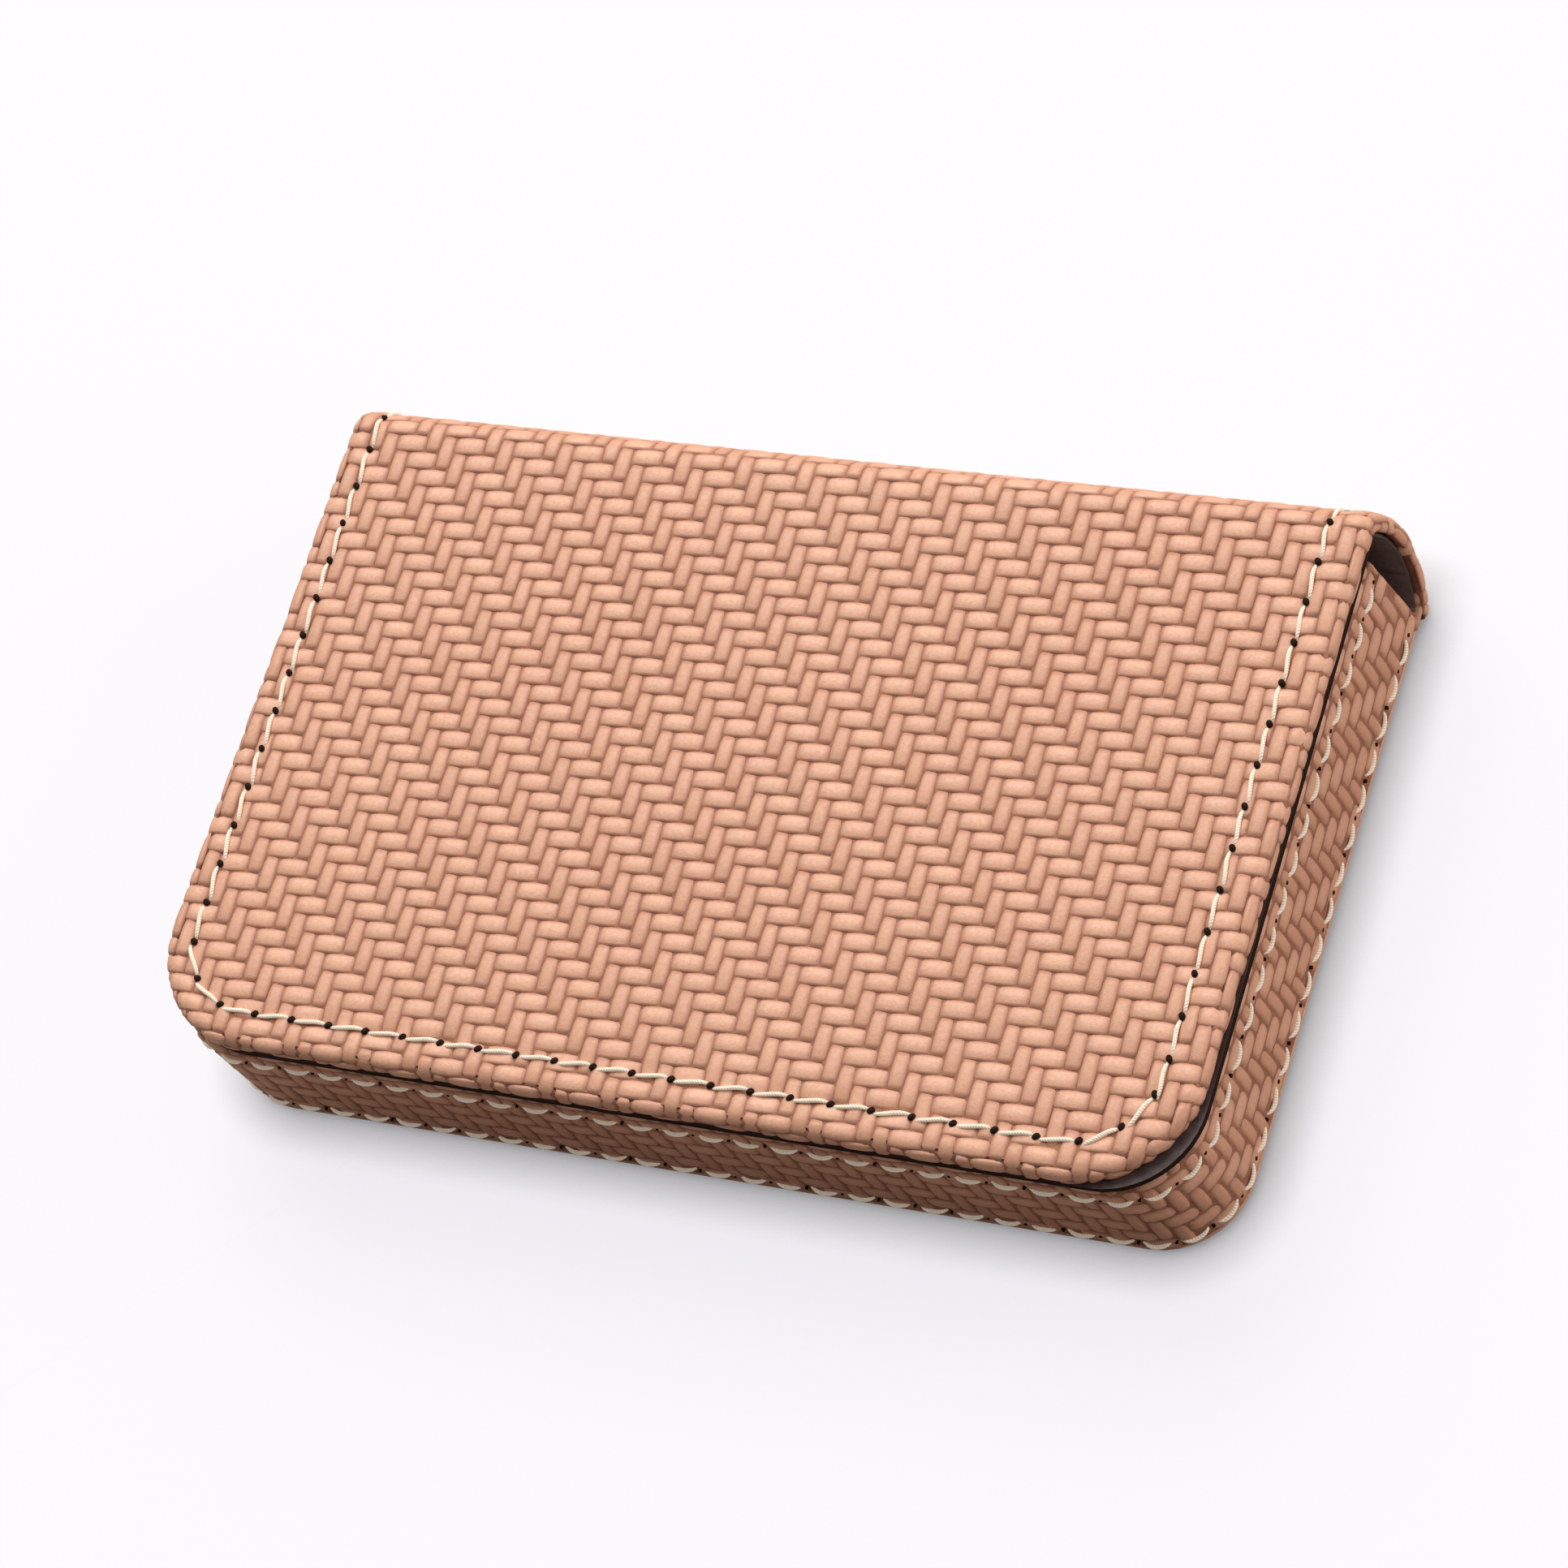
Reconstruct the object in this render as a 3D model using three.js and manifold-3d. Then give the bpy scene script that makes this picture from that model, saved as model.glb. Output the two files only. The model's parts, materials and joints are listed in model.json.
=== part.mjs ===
// Business card case in woven-grain leatherette: a three-sided card tray, a lid, and a
// bowed spine that joins them along one long edge. Millimetres, +Z up. The case lies closed
// on its back: X is the long edge, -Y the opening edge, +Y the spine. The origin is on the
// surface that the case lies on, under the middle of its outer box.

import * as THREE from "three";
import { mergeVertices } from "three/addons/utils/BufferGeometryUtils.js";
import Module from "manifold-3d";

// ---- Driving dimensions ----
const lidWidth = 105; // X, over the lid and the spine
const foldDepth = 63.2; // Y, from the lid's opening edge to the fold lines
const caseHeight = 18; // Z, closed
const lidCornerRadius = 11; // front corners of the lid, in plan
const cornerRadius = 8.5; // front corners of the lining, the walls and the back, at the lid's edge
const spineRadius = 15; // bow of the spine, seen from its end
const spineCornerRadius = 2.4; // where the bow turns into the lid and into the back
const trayInset = 0.5; // the walls stand this far inside the lid's edge

const skin = 0.45; // woven-grain leatherette
const board = 0.8; // greyboard in the lid and the back, flexible card in the spine
const lining = 0.35; // smooth dark lining
const lidLiningThickness = 0.7; // the same lining on its backing, glued under the lid
const turnIn = 6; // how far the skin is turned over a board's edge
const boardSetBack = 1; // from the skin at the fold line to the board's edge
const wallCore = 2.5; // stiff band inside the walls
const wallTurnDown = 3; // how far the skin reaches down inside the walls
const wallEdgeRadius = 1.2; // lower outer edge of the walls
const wallUnder = 1.6; // how far the walls' skin is turned under the case
const wallEndBack = 1.6; // the walls' ends stop this far short of the fold, at the top
const wallEndFoot = 0.45; // and this far short of it at the bottom

const pocketDepth = 38; // Y, of the slip pocket inside the lid
const thumbCutWidth = 26; // notch in the pocket's mouth
const thumbCutSides = 24;
const magnetLength = 12;
const magnetWidth = 1.7;
const magnetSpacing = 56; // centre to centre, along X
const keeperHeight = 4; // Z, of the steel keepers in the front wall

const threadWidth = 0.5;
const threadHeight = 0.3;
const lidSeamMargin = 3.4; // from the lid's edge to its stitching
const wallSeamMargin = 2.2; // from the walls' top edge to the upper stitching
const wallSeamSpacing = 9.7; // between the two rows on the walls

// ---- Clearances ----
const glueLine = 0.05; // between layers that are glued together
const threadGap = 0.05; // round a thread in its groove
const foldGap = 0.3; // between a panel and the spine at a fold line
const closingGap = 1.15; // between the pocket's face and the walls' top edge
const pocketInset = 1.5; // from the lid's edge to the pocket's edge
const lidLiningInset = 0.1; // from the lid's edge to its lining's edge, which shows
const spineLiningInset = 0.9; // from the spine's ends to its lining's ends
const underClearance = 0.1; // the walls' turned-under skin stays this far above the back's face
const seatGap = 0.15; // round a magnet or a keeper in its seat
const edgeGap = 0.2; // between the back panel's edge and the turned-under skin

// ---- Cutting shapes ----
const over = 1; // how far a cutting shape runs past the face that it cuts
const bite = 0.1; // how far it runs into a space that is already open

// ---- Derived levels and outlines ----
const panel = skin + board + skin; // skin, board and turned-in skin
const half = lidWidth / 2;
const lidUnderside = caseHeight - panel;
const liningUnderside = lidUnderside - lidLiningThickness;
const pocketUnderside = liningUnderside - lining;
const wallTop = pocketUnderside - closingGap;
const wallThickness = skin + wallCore + lining + 2 * glueLine;
const floorLevel = panel + lining;
const upperRow = wallTop - wallSeamMargin; // level of the walls' upper stitching
const lowerRow = upperRow - wallSeamSpacing;
const backInset = trayInset + wallUnder + edgeGap; // edge of the back panel
const backSeamInset = backInset + lidSeamMargin - wallUnder;
const panelRear = foldDepth - foldGap / 2; // where the lid and the back stop

const bowCentreZ = caseHeight / 2;
const centresApart = spineRadius - spineCornerRadius; // bow centre to corner centre
const centresRise = bowCentreZ - spineCornerRadius;
const bowCentreY = foldDepth - Math.sqrt(centresApart ** 2 - centresRise ** 2);
const apexY = bowCentreY + spineRadius;

const arcSegments = 4; // three.js doubles it for each quarter turn
const edgeSteps = 3; // of the walls' rounded edge
const leastRadius = 0.3; // of an outline that is inset past the corner's centre
const cornerSteps = 4; // of the spine's tight corner
const bowSteps = 7; // of half of its bow

// ---- Solids that can be cut and joined ----
const wasm = await Module();
wasm.setup();

function solidOf(geometry) {
  const bare = geometry.index ? geometry.toNonIndexed() : geometry.clone();
  bare.deleteAttribute("normal");
  bare.deleteAttribute("uv");
  const merged = mergeVertices(bare, 1e-4);
  return new wasm.Manifold(
    new wasm.Mesh({
      numProp: 3,
      vertProperties: merged.attributes.position.array,
      triVerts: new Uint32Array(merged.index.array),
    }),
  );
}

function geometryOf(solid) {
  const mesh = solid.getMesh();
  const geometry = new THREE.BufferGeometry();
  geometry.setAttribute("position", new THREE.BufferAttribute(mesh.vertProperties, 3));
  geometry.setIndex(new THREE.BufferAttribute(mesh.triVerts, 1));
  geometry.computeVertexNormals();
  return geometry;
}

// ---- Plan outlines: a rectangle with rounded front corners, inset from the lid's edge ----
function plan(inset, rear, edgeRadius = cornerRadius) {
  const side = half - inset;
  const radius = Math.max(edgeRadius - inset, leastRadius);
  const outline = new THREE.Shape();
  outline.moveTo(-side, rear);
  outline.lineTo(-side, inset + radius);
  outline.absarc(radius - side, inset + radius, radius, Math.PI, 1.5 * Math.PI, false);
  outline.absarc(side - radius, inset + radius, radius, 1.5 * Math.PI, 2 * Math.PI, false);
  outline.lineTo(side, rear);
  outline.closePath();
  return outline;
}

function slab(outline, bottom, top) {
  const geometry = new THREE.ExtrudeGeometry(outline, {
    depth: top - bottom,
    bevelEnabled: false,
    curveSegments: arcSegments,
  });
  return solidOf(geometry.translate(0, 0, bottom));
}

function block(x0, x1, y0, y1, z0, z1) {
  const geometry = new THREE.BoxGeometry(x1 - x0, y1 - y0, z1 - z0);
  return solidOf(geometry.translate((x0 + x1) / 2, (y0 + y1) / 2, (z0 + z1) / 2));
}

// A strip that follows the two sides and the front, between two insets from the lid's edge.
function strip(outer, inner, rear, bottom, top, edgeRadius = cornerRadius) {
  const hollow = slab(plan(inner, rear + over, edgeRadius), bottom - over, top + over);
  return slab(plan(outer, rear, edgeRadius), bottom, top).subtract(hollow);
}

// ---- A panel: skin round a board, its turned-in edge on the inner side ----
// level is the outer face, inward is -1 where the inside is below it and 1 where it is above.
function panelSolids(inset, level, inward, radius) {
  const boardRear = panelRear - skin - boardSetBack;
  const span = (near, far) => {
    const a = level + inward * near;
    const b = level + inward * far;
    return [Math.min(a, b), Math.max(a, b)];
  };
  const window = plan(inset + turnIn, boardRear - turnIn, radius);
  const cover = slab(plan(inset, panelRear, radius), ...span(0, panel))
    .subtract(slab(plan(inset + skin, boardRear, radius), ...span(skin, skin + board)))
    .subtract(slab(window, ...span(skin + board - bite, panel + over)));
  const core = slab(
    plan(inset + skin + glueLine, boardRear - glueLine, radius),
    ...span(skin + glueLine, skin + board - glueLine),
  );
  return { cover, core };
}

// ---- The spine's section in the Y-Z plane ----
// Points from the fold line at the back, round the corner and up the bow to the mid height,
// at a depth below the outer surface.
function bowLine(depth) {
  const points = [];
  const turn = Math.atan2(-centresRise, foldDepth - bowCentreY);
  for (let i = 0; i <= cornerSteps; i++) {
    const a = -Math.PI / 2 + ((turn + Math.PI / 2) * i) / cornerSteps;
    const r = spineCornerRadius - depth;
    points.push(new THREE.Vector2(foldDepth + r * Math.cos(a), spineCornerRadius + r * Math.sin(a)));
  }
  for (let i = 1; i <= bowSteps; i++) {
    const a = turn * (1 - i / bowSteps);
    const r = spineRadius - depth;
    points.push(new THREE.Vector2(bowCentreY + r * Math.cos(a), bowCentreZ + r * Math.sin(a)));
  }
  return points;
}

// A layer of the lower half of the spine, between two depths, from x0 to x1. Its ends stop
// half a fold gap short of the fold line and of the mid height.
function bowLayer(outerDepth, innerDepth, x0, x1) {
  const outline = new THREE.Shape([...bowLine(outerDepth), ...bowLine(innerDepth).reverse()]);
  const geometry = new THREE.ExtrudeGeometry(outline, { depth: x1 - x0, bevelEnabled: false });
  geometry.rotateX(Math.PI / 2);
  geometry.rotateZ(Math.PI / 2);
  geometry.translate(x0, 0, 0);
  const near = foldDepth + foldGap / 2;
  const top = bowCentreZ - foldGap / 2;
  const kept = block(x0 - over, x1 + over, near, apexY + over, -over, top);
  return solidOf(geometry).intersect(kept);
}

// The same layer on the upper half, a mirror image about the mid height.
function mirrored(solid) {
  return solid.mirror([0, 0, 1]).translate([0, 0, caseHeight]);
}

// ---- Finishes ----
const finishes = {
  woven: { color: 0xd9a585, roughness: 0.5, metalness: 0 },
  lining: { color: 0x4a3733, roughness: 0.7, metalness: 0 },
  board: { color: 0x8f8a80, roughness: 0.95, metalness: 0 },
  thread: { color: 0xf1e2c8, roughness: 0.75, metalness: 0 },
  magnet: { color: 0xb9bcc0, roughness: 0.3, metalness: 1 },
};

const cardCase = new THREE.Group();
cardCase.name = "business_card_case";
cardCase.position.y = -apexY / 2;

function add(name, solid, finish) {
  const mesh = new THREE.Mesh(geometryOf(solid), new THREE.MeshStandardMaterial(finishes[finish]));
  mesh.name = name;
  cardCase.add(mesh);
}

// ---- Seams ----
// A thread runs in a groove, flush with the skin round it.
const grooveDepth = threadHeight + threadGap;
const threadHalf = threadWidth / 2;
const grooveHalf = threadHalf + threadGap;

const lidThread = strip(
  lidSeamMargin - threadHalf,
  lidSeamMargin + threadHalf,
  panelRear,
  caseHeight - threadHeight,
  caseHeight,
  lidCornerRadius,
);
const lidGroove = strip(
  lidSeamMargin - grooveHalf,
  lidSeamMargin + grooveHalf,
  panelRear + over,
  caseHeight - grooveDepth,
  caseHeight + over,
  lidCornerRadius,
);
const backThread = strip(
  backSeamInset - threadHalf,
  backSeamInset + threadHalf,
  panelRear,
  0,
  threadHeight,
);
const backGroove = strip(
  backSeamInset - grooveHalf,
  backSeamInset + grooveHalf,
  panelRear + over,
  -over,
  grooveDepth,
);

// ---- Lid ----
const magnetCentreY = skin + seatGap + magnetWidth / 2;
const magnetTop = caseHeight - skin - glueLine;
const magnetBottom = magnetTop - board + 2 * glueLine;
const lid = panelSolids(0, caseHeight, -1, lidCornerRadius);
let lidBoard = lid.core;
for (const [side, sign] of [["left", -1], ["right", 1]]) {
  const x0 = (sign * magnetSpacing - magnetLength) / 2;
  const x1 = x0 + magnetLength;
  const y0 = magnetCentreY - magnetWidth / 2;
  const y1 = y0 + magnetWidth;
  const magnet = block(x0, x1, y0, y1, magnetBottom, magnetTop);
  const seat = block(
    x0 - seatGap,
    x1 + seatGap,
    -over,
    y1 + seatGap,
    magnetBottom - over,
    magnetTop + over,
  );
  lidBoard = lidBoard.subtract(seat);
  add(`lid_magnet_${side}`, magnet, "magnet");
}
add("lid_cover", lid.cover.subtract(lidGroove), "woven");
add("lid_board", lidBoard, "board");
add("lid_stitching", lidThread, "thread");

const lidLining = slab(plan(lidLiningInset, panelRear), liningUnderside, lidUnderside);
add("lid_lining", lidLining, "lining");

const thumbCut = solidOf(
  new THREE.CylinderGeometry(thumbCutWidth / 2, thumbCutWidth / 2, lining + 2 * over, thumbCutSides)
    .rotateX(Math.PI / 2)
    .translate(0, pocketDepth + thumbCutWidth / 4, pocketUnderside + lining / 2),
);
const pocket = slab(plan(pocketInset, pocketDepth), pocketUnderside, liningUnderside);
add("lid_pocket", pocket.subtract(thumbCut), "lining");

// ---- Walls ----
// Their ends are cut on a slant that follows the spine. The cut is wider than the walls.
const wallRear = foldDepth + 4; // the walls' blanks run past the fold before the cut
const endCut = (() => {
  const behind = wallRear + over;
  const depth = lidWidth + 2 * over;
  const outline = new THREE.Shape();
  outline.moveTo(foldDepth - wallEndFoot, -over);
  outline.lineTo(foldDepth - wallEndFoot, panel);
  outline.lineTo(foldDepth - wallEndBack, wallTop + over);
  outline.lineTo(behind, wallTop + over);
  outline.lineTo(behind, -over);
  outline.closePath();
  const geometry = new THREE.ExtrudeGeometry(outline, { depth, bevelEnabled: false });
  geometry.rotateX(Math.PI / 2);
  geometry.rotateZ(Math.PI / 2);
  return solidOf(geometry.translate(-half - over, 0, 0));
})();
const coreOuter = trayInset + skin + glueLine;
const coreInner = coreOuter + wallCore;
const wallInner = trayInset + wallThickness;

function roundedBlank(inset, bottom, top) {
  const r = wallEdgeRadius;
  const geometry = new THREE.ExtrudeGeometry(plan(inset + r, wallRear - r), {
    depth: top - bottom - 2 * r,
    bevelEnabled: true,
    bevelThickness: r,
    bevelSize: r,
    bevelSegments: edgeSteps,
    curveSegments: arcSegments,
  });
  return solidOf(geometry.translate(0, 0, bottom + r));
}

const turnedUnder = plan(trayInset + wallUnder, wallRear);
let wallSkin = roundedBlank(trayInset, underClearance, wallTop)
  .subtract(slab(plan(trayInset + skin, wallRear), skin + underClearance, wallTop - skin))
  .subtract(slab(plan(wallInner, wallRear), -over, wallTop + over))
  .subtract(slab(plan(wallInner - skin, wallRear), panel, wallTop - wallTurnDown))
  .subtract(slab(turnedUnder, -over, skin + underClearance + bite));
for (const [row, level] of [["upper", upperRow], ["lower", lowerRow]]) {
  const groove = strip(
    trayInset - over,
    trayInset + grooveDepth,
    wallRear,
    level - grooveHalf,
    level + grooveHalf,
  );
  const thread = strip(
    trayInset,
    trayInset + threadHeight,
    wallRear,
    level - threadHalf,
    level + threadHalf,
  );
  wallSkin = wallSkin.subtract(groove);
  add(`wall_${row}_stitching`, thread.subtract(endCut), "thread");
}
add("wall_cover", wallSkin.subtract(endCut), "woven");

const coreBottom = panel + glueLine;
const coreTop = wallTop - skin - glueLine;
let core = strip(coreOuter, coreInner, wallRear, coreBottom, coreTop).subtract(endCut);
for (const [side, sign] of [["left", -1], ["right", 1]]) {
  const x0 = (sign * magnetSpacing - magnetLength) / 2;
  const x1 = x0 + magnetLength;
  const y0 = (coreOuter + coreInner - magnetWidth) / 2;
  const y1 = y0 + magnetWidth;
  const z0 = coreTop - keeperHeight;
  const keeper = block(x0, x1, y0, y1, z0, coreTop);
  const seat = block(
    x0 - seatGap,
    x1 + seatGap,
    y0 - seatGap,
    y1 + seatGap,
    z0 - seatGap,
    coreTop + over,
  );
  core = core.subtract(seat);
  add(`wall_keeper_${side}`, keeper, "magnet");
}
add("wall_core", core, "board");

const wallLining = strip(
  coreInner + glueLine,
  wallInner,
  wallRear,
  floorLevel + glueLine,
  wallTop - wallTurnDown - glueLine,
).subtract(endCut);
add("wall_lining", wallLining, "lining");

// ---- Back ----
const back = panelSolids(backInset, 0, 1, cornerRadius);
add("back_cover", back.cover.subtract(backGroove), "woven");
add("back_board", back.core, "board");
add("back_stitching", backThread, "thread");
const floorLining = slab(plan(coreInner + glueLine, panelRear), panel, floorLevel);
add("tray_floor_lining", floorLining, "lining");

// ---- Spine, in a lower and an upper half that turn on each other at mid height ----
const spineCover = bowLayer(0, panel, -half, half)
  .subtract(bowLayer(skin, skin + board, skin - half, half - skin))
  .subtract(bowLayer(skin + board - bite, panel + bite, turnIn - half, half - turnIn));
const spineFiller = bowLayer(
  skin + glueLine,
  skin + board - glueLine,
  skin + glueLine - half,
  half - skin - glueLine,
);
const liningEnd = half - spineLiningInset;
const spineLining = bowLayer(panel + glueLine, panel + lining, -liningEnd, liningEnd);
const threadX = half - lidSeamMargin;
let grooved = spineCover;
for (const [side, sign] of [["left", -1], ["right", 1]]) {
  const x = sign * threadX;
  grooved = grooved.subtract(bowLayer(-bite, grooveDepth, x - grooveHalf, x + grooveHalf));
  const thread = bowLayer(0, threadHeight, x - threadHalf, x + threadHalf);
  add(`spine_stitching_${side}_lower`, thread, "thread");
  add(`spine_stitching_${side}_upper`, mirrored(thread), "thread");
}
for (const [part, layer, finish] of [
  ["cover", grooved, "woven"],
  ["filler", spineFiller, "board"],
  ["lining", spineLining, "lining"],
]) {
  add(`spine_${part}_lower`, layer, finish);
  add(`spine_${part}_upper`, mirrored(layer), finish);
}

export default cardCase;
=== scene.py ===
# %% [markdown]
# # A business card case in woven-grain leatherette
# The case is a shallow tray with three walls, a lid, and a bowed spine that joins the two
# along one long edge. This lesson dresses the plain CAD model of it: a leatherette skin
# embossed with a basket twill, seams of cream thread, and a dark lining. The CAD model is
# loaded first and stays as it is, because every piece takes its place from it.

# %% Load the frame
import json
import math

import bpy
import numpy as np
from mathutils import Matrix, Vector


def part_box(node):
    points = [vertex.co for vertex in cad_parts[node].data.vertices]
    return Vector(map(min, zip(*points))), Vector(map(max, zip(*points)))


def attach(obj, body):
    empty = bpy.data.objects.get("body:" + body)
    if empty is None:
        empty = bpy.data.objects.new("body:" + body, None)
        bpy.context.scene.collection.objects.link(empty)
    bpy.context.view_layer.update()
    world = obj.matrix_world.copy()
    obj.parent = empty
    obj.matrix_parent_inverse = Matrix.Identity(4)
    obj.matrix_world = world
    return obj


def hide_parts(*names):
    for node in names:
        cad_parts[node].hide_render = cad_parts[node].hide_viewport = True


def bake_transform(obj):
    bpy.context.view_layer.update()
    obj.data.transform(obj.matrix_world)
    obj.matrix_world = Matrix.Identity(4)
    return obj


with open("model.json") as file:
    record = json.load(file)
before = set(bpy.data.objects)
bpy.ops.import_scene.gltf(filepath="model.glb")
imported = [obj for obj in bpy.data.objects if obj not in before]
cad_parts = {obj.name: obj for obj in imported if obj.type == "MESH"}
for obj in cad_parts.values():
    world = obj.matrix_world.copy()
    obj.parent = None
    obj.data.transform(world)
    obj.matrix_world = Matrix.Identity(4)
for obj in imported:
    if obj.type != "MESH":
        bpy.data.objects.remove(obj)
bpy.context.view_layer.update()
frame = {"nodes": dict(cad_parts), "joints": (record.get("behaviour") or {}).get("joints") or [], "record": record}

mm = 0.001

# %% [markdown]
# ## Sizes
# The lid's edges, the fold lines and the spine's outermost line come from the CAD nodes and
# joints, so the looks follow the model. A few sizes that the frame can't tell, such as the
# radii of the spine and the seams' distance from the edge, are the maker's own numbers.

# %% Sizes from the frame and from the maker
joint_at = {joint["name"]: joint["pos_m"] for joint in frame["joints"]}
lid_low, lid_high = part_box("lid_cover")
wall_low, wall_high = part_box("wall_cover")
back_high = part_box("back_cover")[1]
half_width = lid_high.x
front = lid_low.y
fold, height = joint_at["lid_fold"][1:]
apex = joint_at["spine_bend"][1]
lid_length = fold - front

corner_radius = 8.5 * mm
lid_corner = 11 * mm
bow_radius = 15 * mm
bend_radius = 2.4 * mm
panel = lid_high.z - lid_low.z
lining = 0.35 * mm
seam_margin = 3.4 * mm
lid_size = [round(size / mm, 1) for size in (2 * half_width, lid_length, height)]
print("lid", lid_size[0], "x", lid_size[1], "mm, height", lid_size[2])

# %% [markdown]
# ## The skin's path
# The outer skin is one sheet. It runs from the lid's opening edge over the lid, round a
# tight bend, over the bow of the spine, and round a second bend to the back. It could be
# modelled by hand as one curved surface. Here a flat sheet is laid out first, as a
# leatherworker cuts it, and a function then says where a point of the flat sheet goes. Weave,
# stitches and skin all go through the same function, so they stay together on every curve.

# %% From the flat sheet to the case
bow_centre = apex - bow_radius
bow_half_angle = math.atan2(height / 2 - bend_radius, fold - bow_centre)
bend_length = bend_radius * (math.pi / 2 - bow_half_angle)
bow_length = 2 * bow_radius * bow_half_angle
bend_end = lid_length + bend_length
bow_end = bend_end + bow_length
skin_length = bow_end + bend_length


def along_skin(q):
    """Place (y, z) and outward angle of the skin at a distance q from the opening edge."""
    q = np.asarray(q, float)
    upper = np.clip(q - lid_length, 0, bend_length) / bend_radius
    bow = np.clip(q - bend_end, 0, bow_length) / bow_radius
    lower = np.clip(q - bow_end, 0, bend_length) / bend_radius
    angle = math.pi / 2 - upper - bow - lower
    on_bow = (q >= bend_end) & (q < bow_end)
    radius = np.where(on_bow, bow_radius, bend_radius)
    centre_y = np.where(on_bow, bow_centre, fold)
    bend_z = np.where(q < bend_end, height - bend_radius, bend_radius)
    centre_z = np.where(on_bow, height / 2, bend_z)
    on_flat = np.minimum(q - lid_length, 0) - np.maximum(q - skin_length, 0)
    return centre_y + radius * np.cos(angle) + on_flat, centre_z + radius * np.sin(angle), angle


def along_back(q):
    """The same for the back, where the outward side is down."""
    q = np.asarray(q, float)
    return front + q, np.zeros_like(q), np.full_like(q, -math.pi / 2)


def q_at_height(z):
    """Distance along the skin at which the bow of the spine passes the height z."""
    return bend_end + bow_radius * (bow_half_angle - math.asin((z - height / 2) / bow_radius))


print("skin from the lid's edge to the back's fold", round(skin_length / mm, 2), "mm")

# %% [markdown]
# ## The turned edge
# A maker glues the skin to a board and turns its edge over, so the rim is a soft roll: a
# rounded top edge, a short upright side, and a smaller rounding below. The function first
# finds how far a point lies outside the flat face, and then lays that distance round the
# roll. The skin also sinks a little along a tight seam, and puffs up between the seam and
# the edge. A panel's seam can slip to one side, as one that was guided by hand does.

# %% Round a panel's edge
edge_round = 0.95 * mm
under_round = 0.4 * mm
edge_side = panel - edge_round - under_round
roll_length = edge_round * math.pi / 2 + edge_side + under_round * math.pi / 2
seam_dip = 0.17 * mm
seam_dip_width = 0.55 * mm
puff = 0.1 * mm
puff_place, puff_width = 1.5 * mm, 0.7 * mm
lid_seam_slip = 0.45 * mm
back_seam_margin = 1.8 * mm


def round_the_edge(d):
    """Out and down from the flat face, and the outward lean, at a distance d past it."""
    first = np.clip(d / edge_round, 0, math.pi / 2)
    side = np.clip(d - edge_round * math.pi / 2, 0, edge_side)
    past = d - edge_round * math.pi / 2 - edge_side
    second = np.clip(past / under_round, 0, math.pi / 2)
    turned = np.maximum(past - under_round * math.pi / 2, 0)
    out = edge_round * np.sin(first) - under_round * (1 - np.cos(second)) - turned
    down = edge_round * (1 - np.cos(first)) + side + under_round * np.sin(second)
    return out, down, first + second


class Panel:
    """A flat sheet with rounded front corners, laid over the lid and spine or the back."""

    def __init__(self, half, inset, radius, along, seam, slip=0.0):
        self.half, self.inset, self.radius = half, inset, radius
        self.along, self.seam, self.slip = along, seam, slip
        self.side = half - edge_round
        self.front = inset + edge_round
        self.corner = radius - edge_round

    def beyond(self, u, q):
        """How far points lie past the flat face, with their offsets from the corner's centre."""
        over_x = np.abs(u) - (self.side - self.corner)
        over_y = self.front + self.corner - q
        px, py = np.maximum(over_x, 0), np.maximum(over_y, 0)
        reach = np.hypot(px, py)
        return px, py, reach, reach + np.minimum(np.maximum(over_x, over_y), 0) - self.corner

    def lay(self, flat):
        """Places on the case of points (u, q, n) of the flat sheet, n above its face."""
        u, q, n = flat.T
        px, py, reach, past = self.beyond(u, q)
        from_seam = self.beyond(u + self.slip, q)[3] + self.seam - edge_round
        n = n - seam_dip * np.exp(-((from_seam / seam_dip_width) ** 2) / 2)
        n = n + puff * np.exp(-(((from_seam - puff_place) / puff_width) ** 2) / 2)
        out, down, lean = round_the_edge(np.maximum(past, 0))
        edge = past > 0
        far = self.corner + out + n * np.sin(lean)
        share = far / np.maximum(reach, 1e-9)
        x = np.where(edge, np.minimum(np.abs(u), self.side - self.corner) + px * share, np.abs(u))
        q = np.where(edge, np.maximum(q, self.front + self.corner) - py * share, q)
        h = np.where(edge, n * np.cos(lean) - down, n)
        y, z, angle = self.along(q)
        return np.stack([x * np.sign(u), y + h * np.cos(angle), z + h * np.sin(angle)], 1)


lid_and_spine = Panel(half_width, 0, lid_corner, along_skin, seam_margin, lid_seam_slip)
back_inset = half_width - back_high.x
back_corner = corner_radius - back_inset
back = Panel(back_high.x, back_inset, back_corner, along_back, back_seam_margin)
print("roll round the edge", round(roll_length / mm, 2), "mm")

# %% [markdown]
# ## Round the walls
# The three walls are one band of the same skin. Its flat sheet is measured along the walls
# from the middle of the front, and upwards. It is turned under the case at the bottom, and
# over the wall's top and down inside at the top. The walls rise a little towards the spine,
# and their two ends are cut on a slant beside it.

# %% From the flat band to the walls
wall_half = wall_high.x
wall_front = wall_low.y
wall_radius = corner_radius - (half_width - wall_half)
wall_top, wall_foot = wall_high.z, wall_low.z
wall_thickness = 3.4 * mm
foot_round = 1.2 * mm
brow_round = 0.8 * mm
wall_dip, wall_dip_width = 0.12 * mm, 0.5 * mm
end_gap_low, end_gap_high = 0.45 * mm, 1.6 * mm
wall_rise = 0.065
wall_seams = (2.2 * mm, 11.9 * mm)
front_straight = wall_half - wall_radius
corner_length = wall_radius * math.pi / 2
side_start = wall_front + wall_radius


def end_of_wall(z):
    """Where the walls' slanted ends lie along Y at the height z."""
    rise = np.clip((z - panel) / (wall_top - panel), 0, 1)
    return fold - end_gap_low - (end_gap_high - end_gap_low) * rise


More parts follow.
